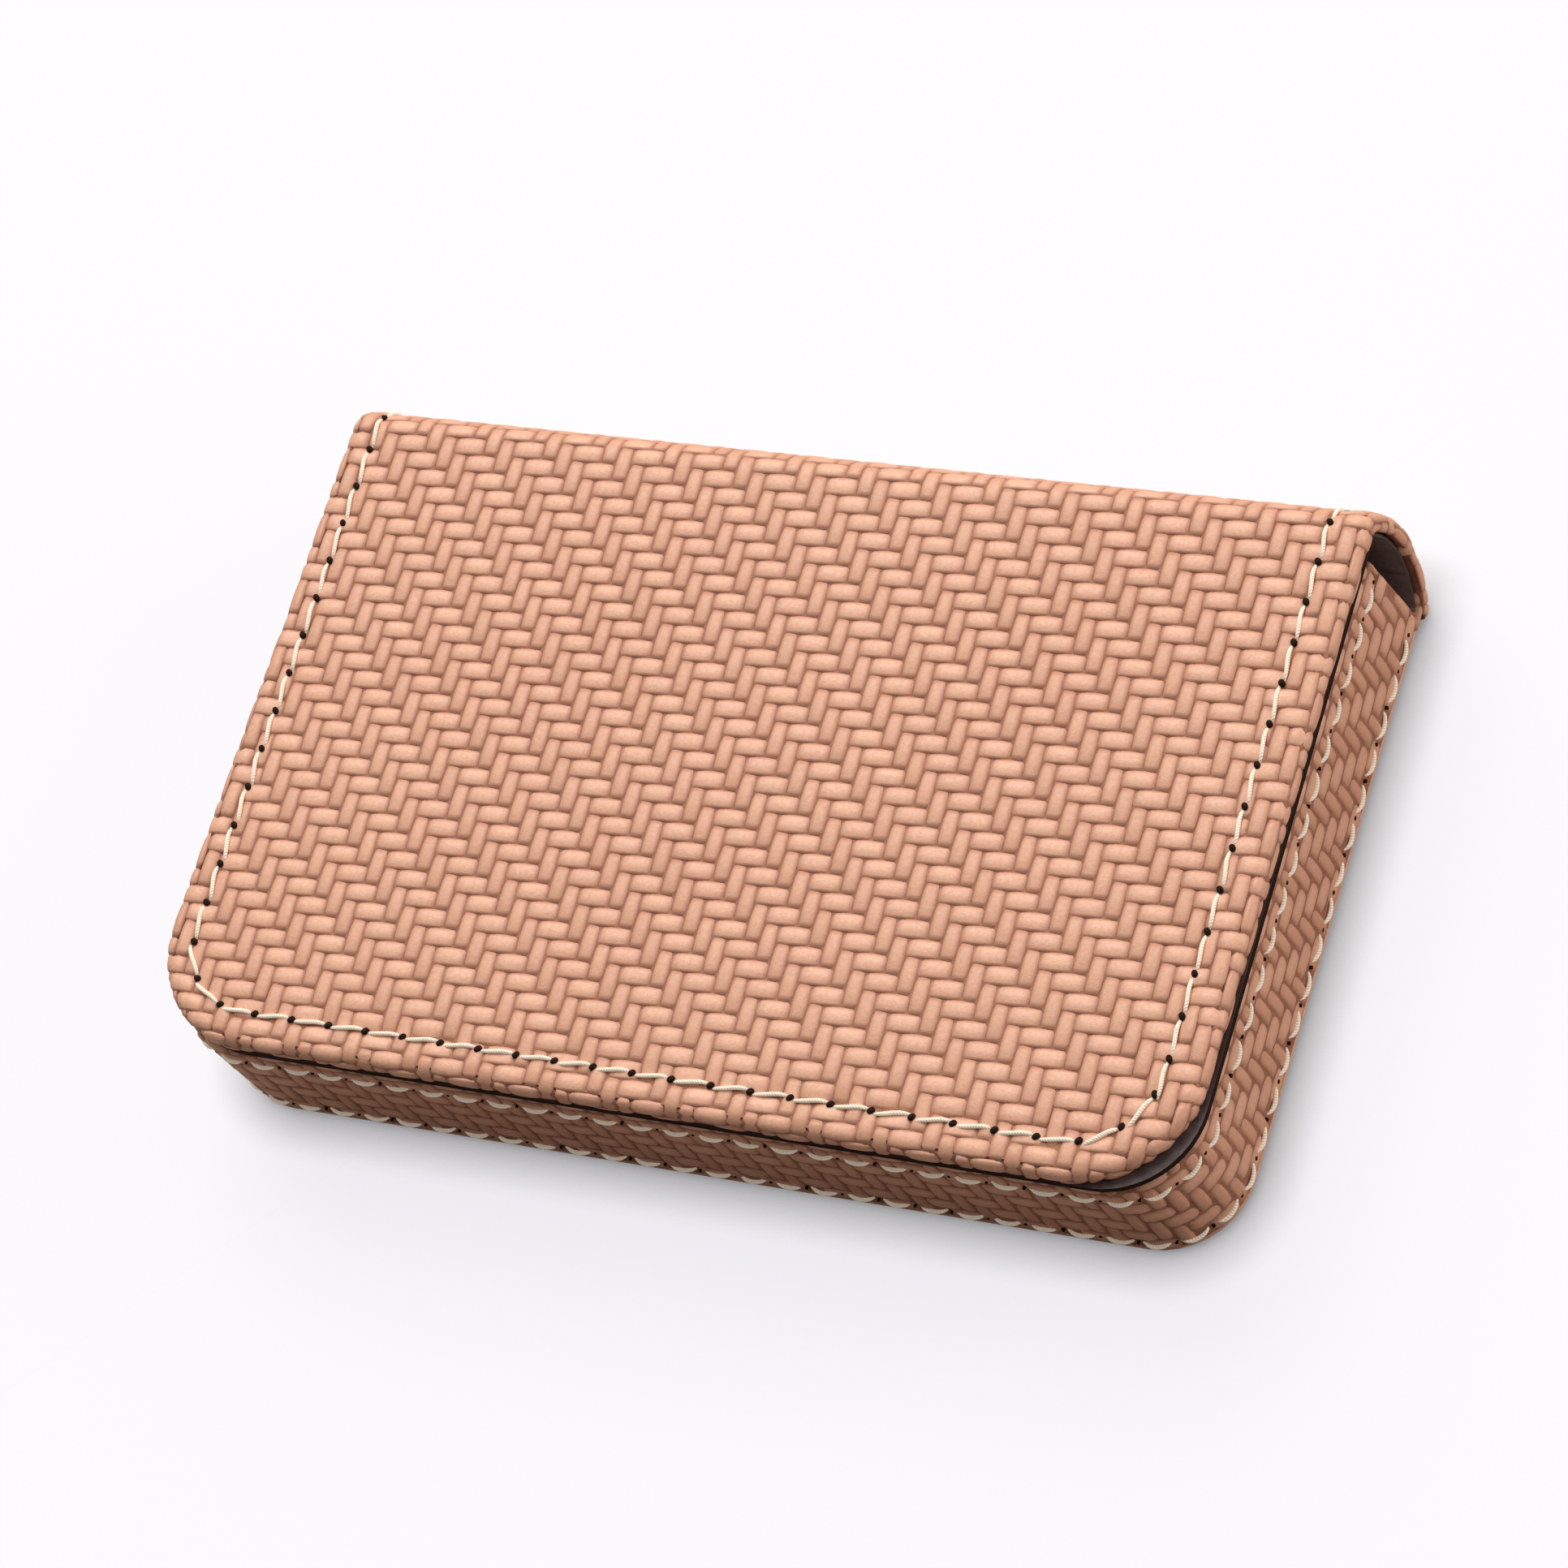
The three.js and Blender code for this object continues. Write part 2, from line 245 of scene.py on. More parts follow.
def lay_on_walls(flat):
    """Places on the walls of points (t, v, n) of the flat band."""
    t, v, n = flat.T
    for seam in wall_seams:
        n = n - wall_dip * np.exp(-(((v - seam) / wall_dip_width) ** 2) / 2)
    over = v - (wall_top - brow_round)
    brow = brow_round * math.pi / 2
    across = wall_thickness - 2 * brow_round
    first = np.clip(over / brow_round, 0, math.pi / 2)
    second = np.clip((over - brow - across) / brow_round, 0, math.pi / 2)
    under = wall_foot + foot_round - v
    foot = np.clip(under / foot_round, 0, math.pi / 2)
    inward = (
        brow_round * (1 - np.cos(first))
        + np.clip(over - brow, 0, across)
        + brow_round * np.sin(second)
        + foot_round * (1 - np.cos(foot))
        + np.maximum(under - foot_round * math.pi / 2, 0)
    )
    z = np.clip(v, wall_foot + foot_round, wall_top - brow_round)
    z = z + brow_round * (np.sin(first) - (1 - np.cos(second))) - foot_round * np.sin(foot)
    z = z - np.maximum(over - 2 * brow - across, 0)
    lean = first + second - foot
    z = z + n * np.sin(lean)
    out = n * np.cos(lean) - inward
    along = np.abs(t)
    turn = np.clip((along - front_straight) / wall_radius, 0, math.pi / 2)
    x = np.minimum(along, front_straight) + (wall_radius + out) * np.sin(turn)
    y = side_start - (wall_radius + out) * np.cos(turn)
    y = y + np.maximum(along - front_straight - corner_length, 0)
    z = z * (1 + wall_rise * np.clip((y - side_start) / (fold - side_start), 0, 1))
    return np.stack([x * np.sign(t), np.minimum(y, end_of_wall(z)), z], 1)


wall_reach = front_straight + corner_length + fold - side_start
print("walls measured along the outside", round(2 * wall_reach / mm, 1), "mm")

# %% [markdown]
# ## Closed sheets
# A sheet needs a thickness and closed edges. Solidify could give both, but it measures along
# averaged normals and bulges on a tight roll. Here the outer and inner faces are two grids
# through the same laying function, at two heights, joined along their free edges.

# %% Make a closed sheet from two grids
def new_object(name, mesh, *materials):
    for material in materials:
        mesh.materials.append(material)
    made = bpy.data.objects.new(name, mesh)
    bpy.context.scene.collection.objects.link(made)
    return made


def closed_sheet(name, outer, inner, faces, material):
    """A closed body between two point lists that share their faces."""
    uses = {}
    for face in faces:
        for a, b in zip(face, face[1:] + face[:1]):
            uses.setdefault(frozenset((a, b)), []).append((a, b))
    shift = len(outer)
    solid = list(faces) + [[i + shift for i in reversed(face)] for face in faces]
    for rims in uses.values():
        if len(rims) == 1:
            a, b = rims[0]
            solid.append([b, a, a + shift, b + shift])
    mesh = bpy.data.meshes.new(name)
    mesh.from_pydata(np.vstack([outer, inner]).tolist(), [], solid)
    mesh.validate()
    mesh.update()
    if signed_volume(mesh) < 0:
        mesh.flip_normals()
    mesh.polygons.foreach_set("use_smooth", [True] * len(mesh.polygons))
    return new_object(name, mesh, material)


def signed_volume(mesh):
    mesh.calc_loop_triangles()
    corners = np.zeros(len(mesh.vertices) * 3)
    mesh.vertices.foreach_get("co", corners)
    index = np.zeros(len(mesh.loop_triangles) * 3, int)
    mesh.loop_triangles.foreach_get("vertices", index)
    a, b, c = (corners.reshape(-1, 3)[index.reshape(-1, 3)[:, k]] for k in range(3))
    return float(np.einsum("ij,ij->i", a, np.cross(b, c)).sum() / 6)


def grid_faces(rows, columns):
    return [
        [r * columns + c, r * columns + c + 1, (r + 1) * columns + c + 1, (r + 1) * columns + c]
        for r in range(rows - 1)
        for c in range(columns - 1)
    ]


# %% [markdown]
# The lid's face is a grid of rows whose ends follow the rounded corners. Round it run rings
# that step over the roll, close together where it curves.

# %% Lay out a panel's flat grid
flat_step, bow_step, seam_step = 4 * mm, 0.6 * mm, 0.6 * mm
middle_columns = 8
turn_in = 1.6 * mm


def roll_steps():
    """Distances past the flat face at which the rings round a panel lie."""
    brow = np.linspace(0, edge_round * math.pi / 2, 5)[1:]
    below = brow[-1] + edge_side + np.linspace(0, under_round * math.pi / 2, 4)
    return [*brow, *below, below[-1] + turn_in]


def face_rows(shape, start, end):
    """Distances along a panel at which its rows of points lie."""
    if start > shape.front:
        return list(np.linspace(start, end, max(int((end - start) / bow_step), 2)))
    angles = np.linspace(0, math.pi / 2, 9)
    rows = list(shape.front + shape.corner * (1 - np.cos(angles)))
    rows += list(np.arange(rows[-1] + flat_step, min(end, lid_length) - 1 * mm, flat_step))
    if end > lid_length:
        rows += list(np.arange(lid_length - 0.4 * mm, end, bow_step))
    return [q for q in rows if q < end - 0.1 * mm] + [end]


def panel_grid(shape, start, end):
    """Flat points and faces of a panel from start to end along it, with its turned edges."""
    rows = face_rows(shape, start, end)
    points = []
    for q in rows:
        dip = max(shape.front + shape.corner - q, 0)
        width = shape.side - shape.corner + math.sqrt(max(shape.corner**2 - dip**2, 0))
        seam_at = max(width - (shape.seam - edge_round), 0.6 * width)
        between = seam_at - 2 * seam_step
        middle = list(np.linspace(-between, between, middle_columns))
        edge = [seam_at - seam_step, seam_at, seam_at + seam_step, width]
        points += [(u, q) for u in [-e for e in reversed(edge)] + middle + edge]
    wide = len(points) // len(rows)
    faces = grid_faces(len(rows), wide)
    right = [r * wide + wide - 1 for r in reversed(range(len(rows)))]
    left = [r * wide for r in range(len(rows))]
    chains = [right, left]
    if start <= shape.front:
        chains = [right + list(range(wide - 2, 0, -1)) + left]
    for chain in chains:
        before = chain
        for d in roll_steps():
            ring = []
            for i in chain:
                u, q = points[i]
                px = max(abs(u) - (shape.side - shape.corner), 0)
                py = max(shape.front + shape.corner - q, 0)
                size = math.hypot(px, py) or 1
                ring.append(len(points))
                points.append((u + math.copysign(px / size * d, u), q - py / size * d))
            for k in range(len(chain) - 1):
                faces.append([before[k], ring[k], ring[k + 1], before[k + 1]])
            before = ring
    return np.array(points), faces


def panel_sheet(name, shape, start, end, top, bottom, material):
    """A closed sheet on a panel, between two heights over its face."""
    points, faces = panel_grid(shape, start, end)
    outer = shape.lay(np.column_stack([points, np.full(len(points), top)]))
    inner = shape.lay(np.column_stack([points, np.full(len(points), bottom)]))
    made = closed_sheet(name, outer, inner, faces, material)
    print(name, len(made.data.polygons), "faces")
    return made


# %% [markdown]
# ## Short hands for nodes
# Materials and Geometry Nodes are built in the script. A few short helpers keep the trees
# readable: one adds a node and wires its inputs by name, and the others add maths nodes.

# %% Node helpers
def add_node(tree, kind, wires=(), **settings):
    made = tree.nodes.new(kind)
    for key, value in settings.items():
        setattr(made, key, value)
    for name, value in dict(wires).items():
        socket = made.inputs[name] if isinstance(name, int) else open_socket(made.inputs, name)
        if isinstance(value, bpy.types.NodeSocket):
            tree.links.new(value, socket)
        else:
            socket.default_value = value
    return made


def open_socket(sockets, name):
    return next(s for s in sockets if s.name == name and s.enabled)


def maths(tree, operation, *values):
    wires = dict(enumerate(values))
    return add_node(tree, "ShaderNodeMath", wires, operation=operation).outputs[0]


def times(tree, *values):
    return maths(tree, "MULTIPLY", *values)


def plus(tree, *values):
    return maths(tree, "ADD", *values)


def minus(tree, *values):
    return maths(tree, "SUBTRACT", *values)


def split_up(tree, vector):
    return add_node(tree, "ShaderNodeSeparateXYZ", {"Vector": vector}).outputs


def vector_of(tree, x, y, z):
    return add_node(tree, "ShaderNodeCombineXYZ", {"X": x, "Y": y, "Z": z}).outputs[0]


def new_tree(kind, name, inputs, outputs):
    """A node tree with named inputs and outputs, and its two end nodes."""
    tree = bpy.data.node_groups.new(name, kind)
    for label, socket, *start in inputs:
        made = tree.interface.new_socket(name=label, in_out="INPUT", socket_type=socket)
        if start:
            made.default_value = start[0]
    for label, socket in outputs:
        tree.interface.new_socket(name=label, in_out="OUTPUT", socket_type=socket)
    given = tree.nodes.new("NodeGroupInput").outputs
    return tree, given, tree.nodes.new("NodeGroupOutput").inputs


# %% [markdown]
# ## Shader groups
# Two effects come back in several finishes. The first is a fine grain, the tiny pebbles of a
# coated surface. The second is handling: slow, cloudy changes of tone where the surface has
# been touched and the light catches it differently. Each is a group that gives values only.

# %% Shared effects
def shader_group(name, inputs, outputs):
    return new_tree("ShaderNodeTree", name, inputs, outputs)


grain_group, given, out = shader_group(
    "Fine grain",
    [("Pebble size", "NodeSocketFloat", 0.0002), ("Depth", "NodeSocketFloat", 1.0)],
    [("Height", "NodeSocketFloat"), ("Speck", "NodeSocketFloat")],
)
place = add_node(grain_group, "ShaderNodeTexCoord").outputs["Object"]
density = maths(grain_group, "DIVIDE", 1.0, given["Pebble size"])
wires = {"Vector": place, "Scale": density}
pebbles = add_node(grain_group, "ShaderNodeTexVoronoi", wires, feature="F1")
wires = {"Vector": place, "Scale": times(grain_group, density, 0.4), "Detail": 5.0}
fibres = add_node(grain_group, "ShaderNodeTexNoise", wires)
pits = pebbles.outputs["Distance"]
rough = maths(grain_group, "MULTIPLY_ADD", pits, -0.6, fibres.outputs["Fac"])
grain_group.links.new(times(grain_group, rough, given["Depth"]), out["Height"])
grain_group.links.new(fibres.outputs["Fac"], out["Speck"])

cloud_group, given, out = shader_group(
    "Handling",
    [
        ("Patch size", "NodeSocketFloat", 0.02),
        ("Low", "NodeSocketFloat", 0.0),
        ("High", "NodeSocketFloat", 1.0),
    ],
    [("Value", "NodeSocketFloat")],
)
place = add_node(cloud_group, "ShaderNodeTexCoord").outputs["Object"]
density = maths(cloud_group, "DIVIDE", 1.0, given["Patch size"])
wires = {"Vector": place, "Scale": density, "Detail": 3.0}
clouds = add_node(cloud_group, "ShaderNodeTexNoise", wires).outputs["Fac"]
wires = {"Value": clouds, "From Min": 0.3, "From Max": 0.7}
wires.update({"To Min": given["Low"], "To Max": given["High"]})
spread = add_node(cloud_group, "ShaderNodeMapRange", wires)
cloud_group.links.new(spread.outputs["Result"], out["Value"])


# %% [markdown]
# ## Finishes
# Each finish starts from the same few steps: a colour that changes over the surface, a
# roughness that changes with it, and a bump from the fine grain. A helper wires those, and
# each finish below adds what is its own.

# %% A helper for finishes
def mixed(tree, share, first, second, blend="MIX"):
    """One colour or the other, by share. Each is a socket or a colour."""
    node = tree.nodes.new("ShaderNodeMix")
    node.data_type, node.blend_type = "RGBA", blend
    for index, value in ((0, share), (6, first), (7, second)):
        if isinstance(value, bpy.types.NodeSocket):
            tree.links.new(value, node.inputs[index])
        else:
            node.inputs[index].default_value = value if index == 0 else (*value, 1)
    return node.outputs[2]


def group_node(tree, group, **values):
    node = tree.nodes.new("ShaderNodeGroup")
    node.node_tree = group
    for name, value in values.items():
        node.inputs[name.replace("_", " ")].default_value = value
    return node.outputs


def stepped(tree, value, low, high, to_low=0.0, to_high=1.0):
    """A value moved evenly from one range to another, and held at its ends."""
    wires = {"Value": value, "From Min": low, "From Max": high}
    wires.update({"To Min": to_low, "To Max": to_high})
    return add_node(tree, "ShaderNodeMapRange", wires).outputs["Result"]


def attribute(tree, name):
    return add_node(tree, "ShaderNodeAttribute", attribute_name=name).outputs


def new_finish(name, **settings):
    """A material, its tree and its Principled shader, with fixed values on the shader."""
    material = bpy.data.materials.new(name)
    material.use_nodes = True
    tree = material.node_tree
    shader = tree.nodes["Principled BSDF"]
    for key, value in settings.items():
        shader.inputs[key.replace("_", " ")].default_value = value
    return material, tree, shader


def wire_surface(tree, shader, colour, roughness):
    tree.links.new(colour, shader.inputs["Base Color"])
    tree.links.new(roughness, shader.inputs["Roughness"])


def wire_bump(tree, shader, heights, strength, distance):
    wires = {"Height": heights, "Strength": strength, "Distance": distance}
    bump = add_node(tree, "ShaderNodeBump", wires)
    tree.links.new(bump.outputs["Normal"], shader.inputs["Normal"])


# %% [markdown]
# The leatherette's strands are pressed into a coated cloth. Their crowns are rubbed glossier than
# their edges, and their colour darkens towards the edges: partly the dye that stays in the hollows,
# partly painted shade where each strand dives under its neighbours. The ones that run across the case
# are painted lighter than the ones that run up it, painted light for the light they catch, and no two
# are quite the same tone.

# %% Leatherette strands
strand_name = "Woven leatherette strands"
strand_finish, tree, shader = new_finish(strand_name, Specular_IOR_Level=0.45, IOR=1.5)
crown = attribute(tree, "crown")["Fac"]
across = attribute(tree, "across")["Fac"]
tint = attribute(tree, "tint")["Fac"]
grain = group_node(tree, grain_group, Pebble_size=0.16 * mm, Depth=1.0)
handled = group_node(tree, cloud_group, Patch_size=22 * mm, Low=0.0, High=1.0)["Value"]
# Painted light: strands that run across are coloured lighter than those that run up, for the light they catch.
shaded_up_colour = mixed(tree, tint, (0.66, 0.33, 0.2), (0.725, 0.37, 0.23))
lit_across_colour = mixed(tree, tint, (0.755, 0.395, 0.25), (0.81, 0.435, 0.28))
colour = mixed(tree, across, shaded_up_colour, lit_across_colour)
# Darker towards each strand's edge: partly dye in the hollows, partly painted shade where the strand dives under
# its neighbours.
colour = mixed(tree, stepped(tree, crown, 0.0, 0.88), (0.49, 0.225, 0.145), colour)
colour = mixed(tree, stepped(tree, handled, 0, 1, 0, 0.14), colour, (0.83, 0.49, 0.32))
specks = stepped(tree, grain["Speck"], 0.35, 0.7, 0.0, 0.26)
colour = mixed(tree, specks, colour, (0.42, 0.2, 0.12))
rubbed = stepped(tree, crown, 0, 1, 0.42, 0.30)
wire_surface(tree, shader, colour, maths(tree, "MULTIPLY_ADD", grain["Speck"], 0.25, rubbed))
wire_bump(tree, shader, grain["Height"], 0.35, 0.05 * mm)

# %% [markdown]
# Between the strands the cloth shows, darker and matt, because dust and dye gather there.

# %% Ground between the strands
ground_finish, tree, shader = new_finish("Leatherette ground", Specular_IOR_Level=0.25)
grain = group_node(tree, grain_group, Pebble_size=0.25 * mm, Depth=1.0)
handled = group_node(tree, cloud_group, Patch_size=9 * mm, Low=0.0, High=1.0)["Value"]
colour = mixed(tree, handled, (0.36, 0.155, 0.09), (0.43, 0.195, 0.115))
colour = mixed(tree, stepped(tree, grain["Speck"], 0.3, 0.8), colour, (0.28, 0.115, 0.07))
wire_surface(tree, shader, colour, stepped(tree, grain["Speck"], 0.2, 0.8, 0.6, 0.85))
wire_bump(tree, shader, grain["Height"], 0.5, 0.08 * mm)

# %% [markdown]
# The thread is three plies twisted together. Each stitch carries its own coordinate along
# its length, so the plies slant the same way on every stitch, whichever way the seam runs.
# It also glows faintly: painted light that keeps the thread bright where it lies in shade.

# %% Thread and needle holes
thread_shine = {"Specular_IOR_Level": 0.35, "Sheen_Weight": 0.25}
thread_finish, tree, shader = new_finish("Cream thread", **thread_shine)
# Painted light: a faint glow, though thread is no lamp.
shader.inputs["Emission Color"].default_value = (1, 0.87, 0.7, 1)
shader.inputs["Emission Strength"].default_value = 0.2
spot = attribute(tree, "spot")["Vector"]
split = split_up(tree, spot)
ply_length, ply_slant = 0.55 * mm, 9000.0
around_thread = times(tree, split[1], ply_slant)
slanted = maths(tree, "MULTIPLY_ADD", split[0], 2 * math.pi / ply_length, around_thread)
ply = maths(tree, "ABSOLUTE", maths(tree, "SINE", slanted))
grain = group_node(tree, grain_group, Pebble_size=0.06 * mm, Depth=1.0)
# Darker in the hollows between the plies: painted shade in the twist's creases.
colour = mixed(tree, stepped(tree, ply, 0.0, 0.6), (0.56, 0.43, 0.29), (0.86, 0.76, 0.61))
specks = stepped(tree, grain["Speck"], 0.4, 0.75, 0.0, 0.4)
colour = mixed(tree, specks, colour, (0.85, 0.74, 0.58))
wire_surface(tree, shader, colour, stepped(tree, ply, 0, 1, 0.8, 0.6))
twist = maths(tree, "MULTIPLY_ADD", grain["Height"], 0.3, ply)
wire_bump(tree, shader, twist, 0.6, 0.08 * mm)

# Near black: painted shade for the inside of a needle hole.
hole_shade_finish, tree, shader = new_finish("Needle hole", Specular_IOR_Level=0.1)
grain = group_node(tree, grain_group, Pebble_size=0.1 * mm, Depth=1.0)
colour = mixed(tree, grain["Speck"], (0.008, 0.004, 0.003), (0.03, 0.013, 0.008))
wire_surface(tree, shader, colour, stepped(tree, grain["Speck"], 0, 1, 0.8, 0.95))
wire_bump(tree, shader, grain["Height"], 0.4, 0.05 * mm)

# %% [markdown]
# The lining is a thin coated cloth in dark brown with a fine pebble. Handling leaves faint
# paler patches. The boards are grey and fibrous, and the magnets and keepers are nickel
# plated, with fine brush lines along X.

# %% Lining, board and nickel
lining_shine = {"Specular_IOR_Level": 0.35, "Sheen_Weight": 0.05}
lining_finish, tree, shader = new_finish("Dark lining", **lining_shine)
grain = group_node(tree, grain_group, Pebble_size=0.3 * mm, Depth=1.0)
handled = group_node(tree, cloud_group, Patch_size=5 * mm, Low=0.0, High=1.0)["Value"]
colour = mixed(tree, handled, (0.062, 0.035, 0.03), (0.115, 0.074, 0.069))
colour = mixed(tree, stepped(tree, grain["Speck"], 0.35, 0.7), colour, (0.06, 0.034, 0.03))
wire_surface(tree, shader, colour, stepped(tree, grain["Speck"], 0.2, 0.8, 0.38, 0.52))
folds = maths(tree, "MULTIPLY_ADD", grain["Height"], 0.3, handled)
wire_bump(tree, shader, folds, 0.4, 0.16 * mm)

board_finish, tree, shader = new_finish("Greyboard", Specular_IOR_Level=0.2)
grain = group_node(tree, grain_group, Pebble_size=0.5 * mm, Depth=1.0)
colour = mixed(tree, grain["Speck"], (0.2, 0.185, 0.16), (0.4, 0.37, 0.33))
wire_surface(tree, shader, colour, stepped(tree, grain["Speck"], 0, 1, 0.85, 0.97))
wire_bump(tree, shader, grain["Height"], 0.7, 0.08 * mm)

nickel_finish, tree, shader = new_finish("Nickel plate", Metallic=1.0)
place = add_node(tree, "ShaderNodeTexCoord").outputs["Object"]
wires = {"Vector": place, "Scale": (60.0, 4000.0, 4000.0)}
drawn = add_node(tree, "ShaderNodeMapping", wires).outputs[0]
wires = {"Vector": drawn, "Scale": 1.0, "Detail": 3.0}
lines = add_node(tree, "ShaderNodeTexNoise", wires).outputs["Fac"]
colour = mixed(tree, lines, (0.5, 0.5, 0.51), (0.72, 0.72, 0.73))
wire_surface(tree, shader, colour, stepped(tree, lines, 0.2, 0.8, 0.22, 0.42))
wire_bump(tree, shader, lines, 0.2, 0.02 * mm)
print(len(bpy.data.materials), "finishes")

# %% [markdown]
# ## The weave
# The leatherette is pressed with a two-over-two twill: each strand passes over two and under
# two, one step further on in each row, which gives slanting ribs. A bump texture would look
# flat at the rims, and the rims are what shows a weave best. So each visible stretch of
# strand is a small closed pillow. The tree makes a lattice, keeps the crossings where a
# stretch begins, and puts a pillow on each: one kind across, one kind up.

# %% Weave tree
gathered = 0.62
end_fall, side_fall = 4.2, 3.4
drawing_in = 0.1


def store(tree, geometry, name, value, data_type="FLOAT", domain="POINT"):
    """Writes a named value on a shape's points or instances, for a finish to read."""
    wires = {"Geometry": geometry, "Name": name, "Value": value}
    kind = "GeometryNodeStoreNamedAttribute"
    return add_node(tree, kind, wires, data_type=data_type, domain=domain).outputs[0]


def pillow(tree, length, width, given):
    """A closed block whose top is crowned and whose ends are drawn in."""
    wires = {"Size": (1, 1, 1), "Vertices X": 6, "Vertices Y": 5, "Vertices Z": 2}
    block = add_node(tree, "GeometryNodeMeshCube", wires).outputs["Mesh"]
    place = add_node(tree, "GeometryNodeInputPosition").outputs[0]
    x, y, z = split_up(tree, place)
    shares, places = [], []
    for axis in (x, y):
        share = times(tree, maths(tree, "ABSOLUTE", axis), 2.0)
        shares.append(maths(tree, "POWER", share, gathered))
        places.append(times(tree, times(tree, maths(tree, "SIGN", axis), 0.5), shares[-1]))
    (end, side), (x, y) = shares, places
    falls = maths(tree, "POWER", end, end_fall), maths(tree, "POWER", side, side_fall)
    fall = plus(tree, *falls)
    top = maths(tree, "GREATER_THAN", z, 0.0)
    crowned = times(tree, fall, times(tree, given["Crown"], -1.0))
    sunk = times(tree, given["Depth"], -1.0)
    level = plus(tree, times(tree, top, minus(tree, crowned, sunk)), sunk)
    drawn_in = maths(tree, "MULTIPLY_ADD", maths(tree, "POWER", end, 8.0), -drawing_in, 1.0)
    new_x = times(tree, x, length)
    new_y = times(tree, times(tree, y, width), drawn_in)
    where = vector_of(tree, new_x, new_y, level)
    height_share = times(tree, top, minus(tree, 1.0, fall))
    marked = store(tree, block, "crown", maths(tree, "MAXIMUM", height_share, 0.0))
    return moved_to(tree, marked, where)


def moved_to(tree, geometry, places):
    wires = {"Geometry": geometry, "Position": places}
    return add_node(tree, "GeometryNodeSetPosition", wires).outputs[0]


def on_points(tree, points, chosen, shape, rotation):
    """A copy of a shape on each chosen point."""
    wires = {"Points": points, "Selection": chosen, "Instance": shape, "Rotation": rotation}
    return add_node(tree, "GeometryNodeInstanceOnPoints", wires).outputs[0]


def made_real(tree, parts):
    """Joins parts, turns their copies into plain geometry and shades them smoothly."""
    joined = tree.nodes.new("GeometryNodeJoinGeometry")
    for part in parts:
        tree.links.new(part, joined.inputs[0])
    wires = {"Geometry": joined.outputs[0]}
    real = add_node(tree, "GeometryNodeRealizeInstances", wires).outputs[0]
    wires = {"Geometry": real, "Shade Smooth": True}
    return add_node(tree, "GeometryNodeSetShadeSmooth", wires).outputs[0]


def with_material(tree, geometry, material):
    wires = {"Geometry": geometry, "Material": material}
    return add_node(tree, "GeometryNodeSetMaterial", wires).outputs[0]


def random_value(tree, low, high, seed):
    wires = {"Min": low, "Max": high, "Seed": seed}
    made = add_node(tree, "FunctionNodeRandomValue", wires, data_type="FLOAT")
    return open_socket(made.outputs, "Value")


NUMBER, WHOLE = "NodeSocketFloat", "NodeSocketInt"
weave_tree, given, out = new_tree(
    "GeometryNodeTree",
    "Woven strands",
    [
        ("Geometry", "NodeSocketGeometry"),
        ("Columns", WHOLE), ("Rows", WHOLE), ("First column", WHOLE), ("First row", WHOLE),
        ("Column width", NUMBER), ("Row height", NUMBER), ("Turn", NUMBER),
        ("Start across", NUMBER), ("Start up", NUMBER),
        ("Across length", NUMBER), ("Across width", NUMBER),
        ("Up length", NUMBER), ("Up width", NUMBER),
        ("Crown", NUMBER), ("Depth", NUMBER),
        ("Side", NUMBER), ("Front", NUMBER), ("Corner", NUMBER), ("Reach", NUMBER),
        ("From", NUMBER), ("To", NUMBER),
        ("Strand", "NodeSocketMaterial"), ("Seed", WHOLE),
    ],
    [("Geometry", "NodeSocketGeometry")],
)
tree = weave_tree
last_column = minus(tree, given["Columns"], 1.0)
last_row = minus(tree, given["Rows"], 1.0)
wires = {"Size X": last_column, "Size Y": last_row}
wires.update({"Vertices X": given["Columns"], "Vertices Y": given["Rows"]})
lattice = add_node(tree, "GeometryNodeMeshGrid", wires).outputs["Mesh"]
place = add_node(tree, "GeometryNodeInputPosition").outputs[0]
gx, gy, _ = split_up(tree, place)
column = plus(tree, maths(tree, "MULTIPLY_ADD", last_column, 0.5, gx), given["First column"])
column = maths(tree, "ROUND", column)
row = plus(tree, maths(tree, "MULTIPLY_ADD", last_row, 0.5, gy), given["First row"])
row = maths(tree, "ROUND", row)
order = maths(tree, "FLOORED_MODULO", minus(tree, column, row), 4.0)
runs_across = maths(tree, "LESS_THAN", order, 0.5)
runs_up = maths(tree, "GREATER_THAN", order, 2.5)
u_index = plus(tree, column, maths(tree, "MULTIPLY_ADD", runs_across, 0.5, 0.5))
step_down = maths(tree, "MULTIPLY_ADD", runs_across, -0.5, 1.0)
v_index = times(tree, plus(tree, row, step_down), -1.0)
p = times(tree, plus(tree, u_index, given["Start across"]), given["Column width"])
q = times(tree, plus(tree, v_index, given["Start up"]), given["Row height"])
cosine, sine = maths(tree, "COSINE", given["Turn"]), maths(tree, "SINE", given["Turn"])
x = minus(tree, times(tree, p, cosine), times(tree, q, sine))
y = maths(tree, "MULTIPLY_ADD", p, sine, times(tree, q, cosine))
over_x = minus(tree, maths(tree, "ABSOLUTE", x), minus(tree, given["Side"], given["Corner"]))
over_y = minus(tree, plus(tree, given["Front"], given["Corner"]), y)
px, py = maths(tree, "MAXIMUM", over_x, 0.0), maths(tree, "MAXIMUM", over_y, 0.0)
past = maths(tree, "SQRT", maths(tree, "MULTIPLY_ADD", px, px, times(tree, py, py)))
inside = maths(tree, "LESS_THAN", past, plus(tree, given["Corner"], given["Reach"]))
after, before = (maths(tree, kind, y, given[stop]) for kind, stop in (
    ("GREATER_THAN", "From"), ("LESS_THAN", "To")))
in_range = times(tree, after, before)
kept = times(tree, inside, in_range)
turned = vector_of(tree, 0.0, 0.0, given["Turn"])
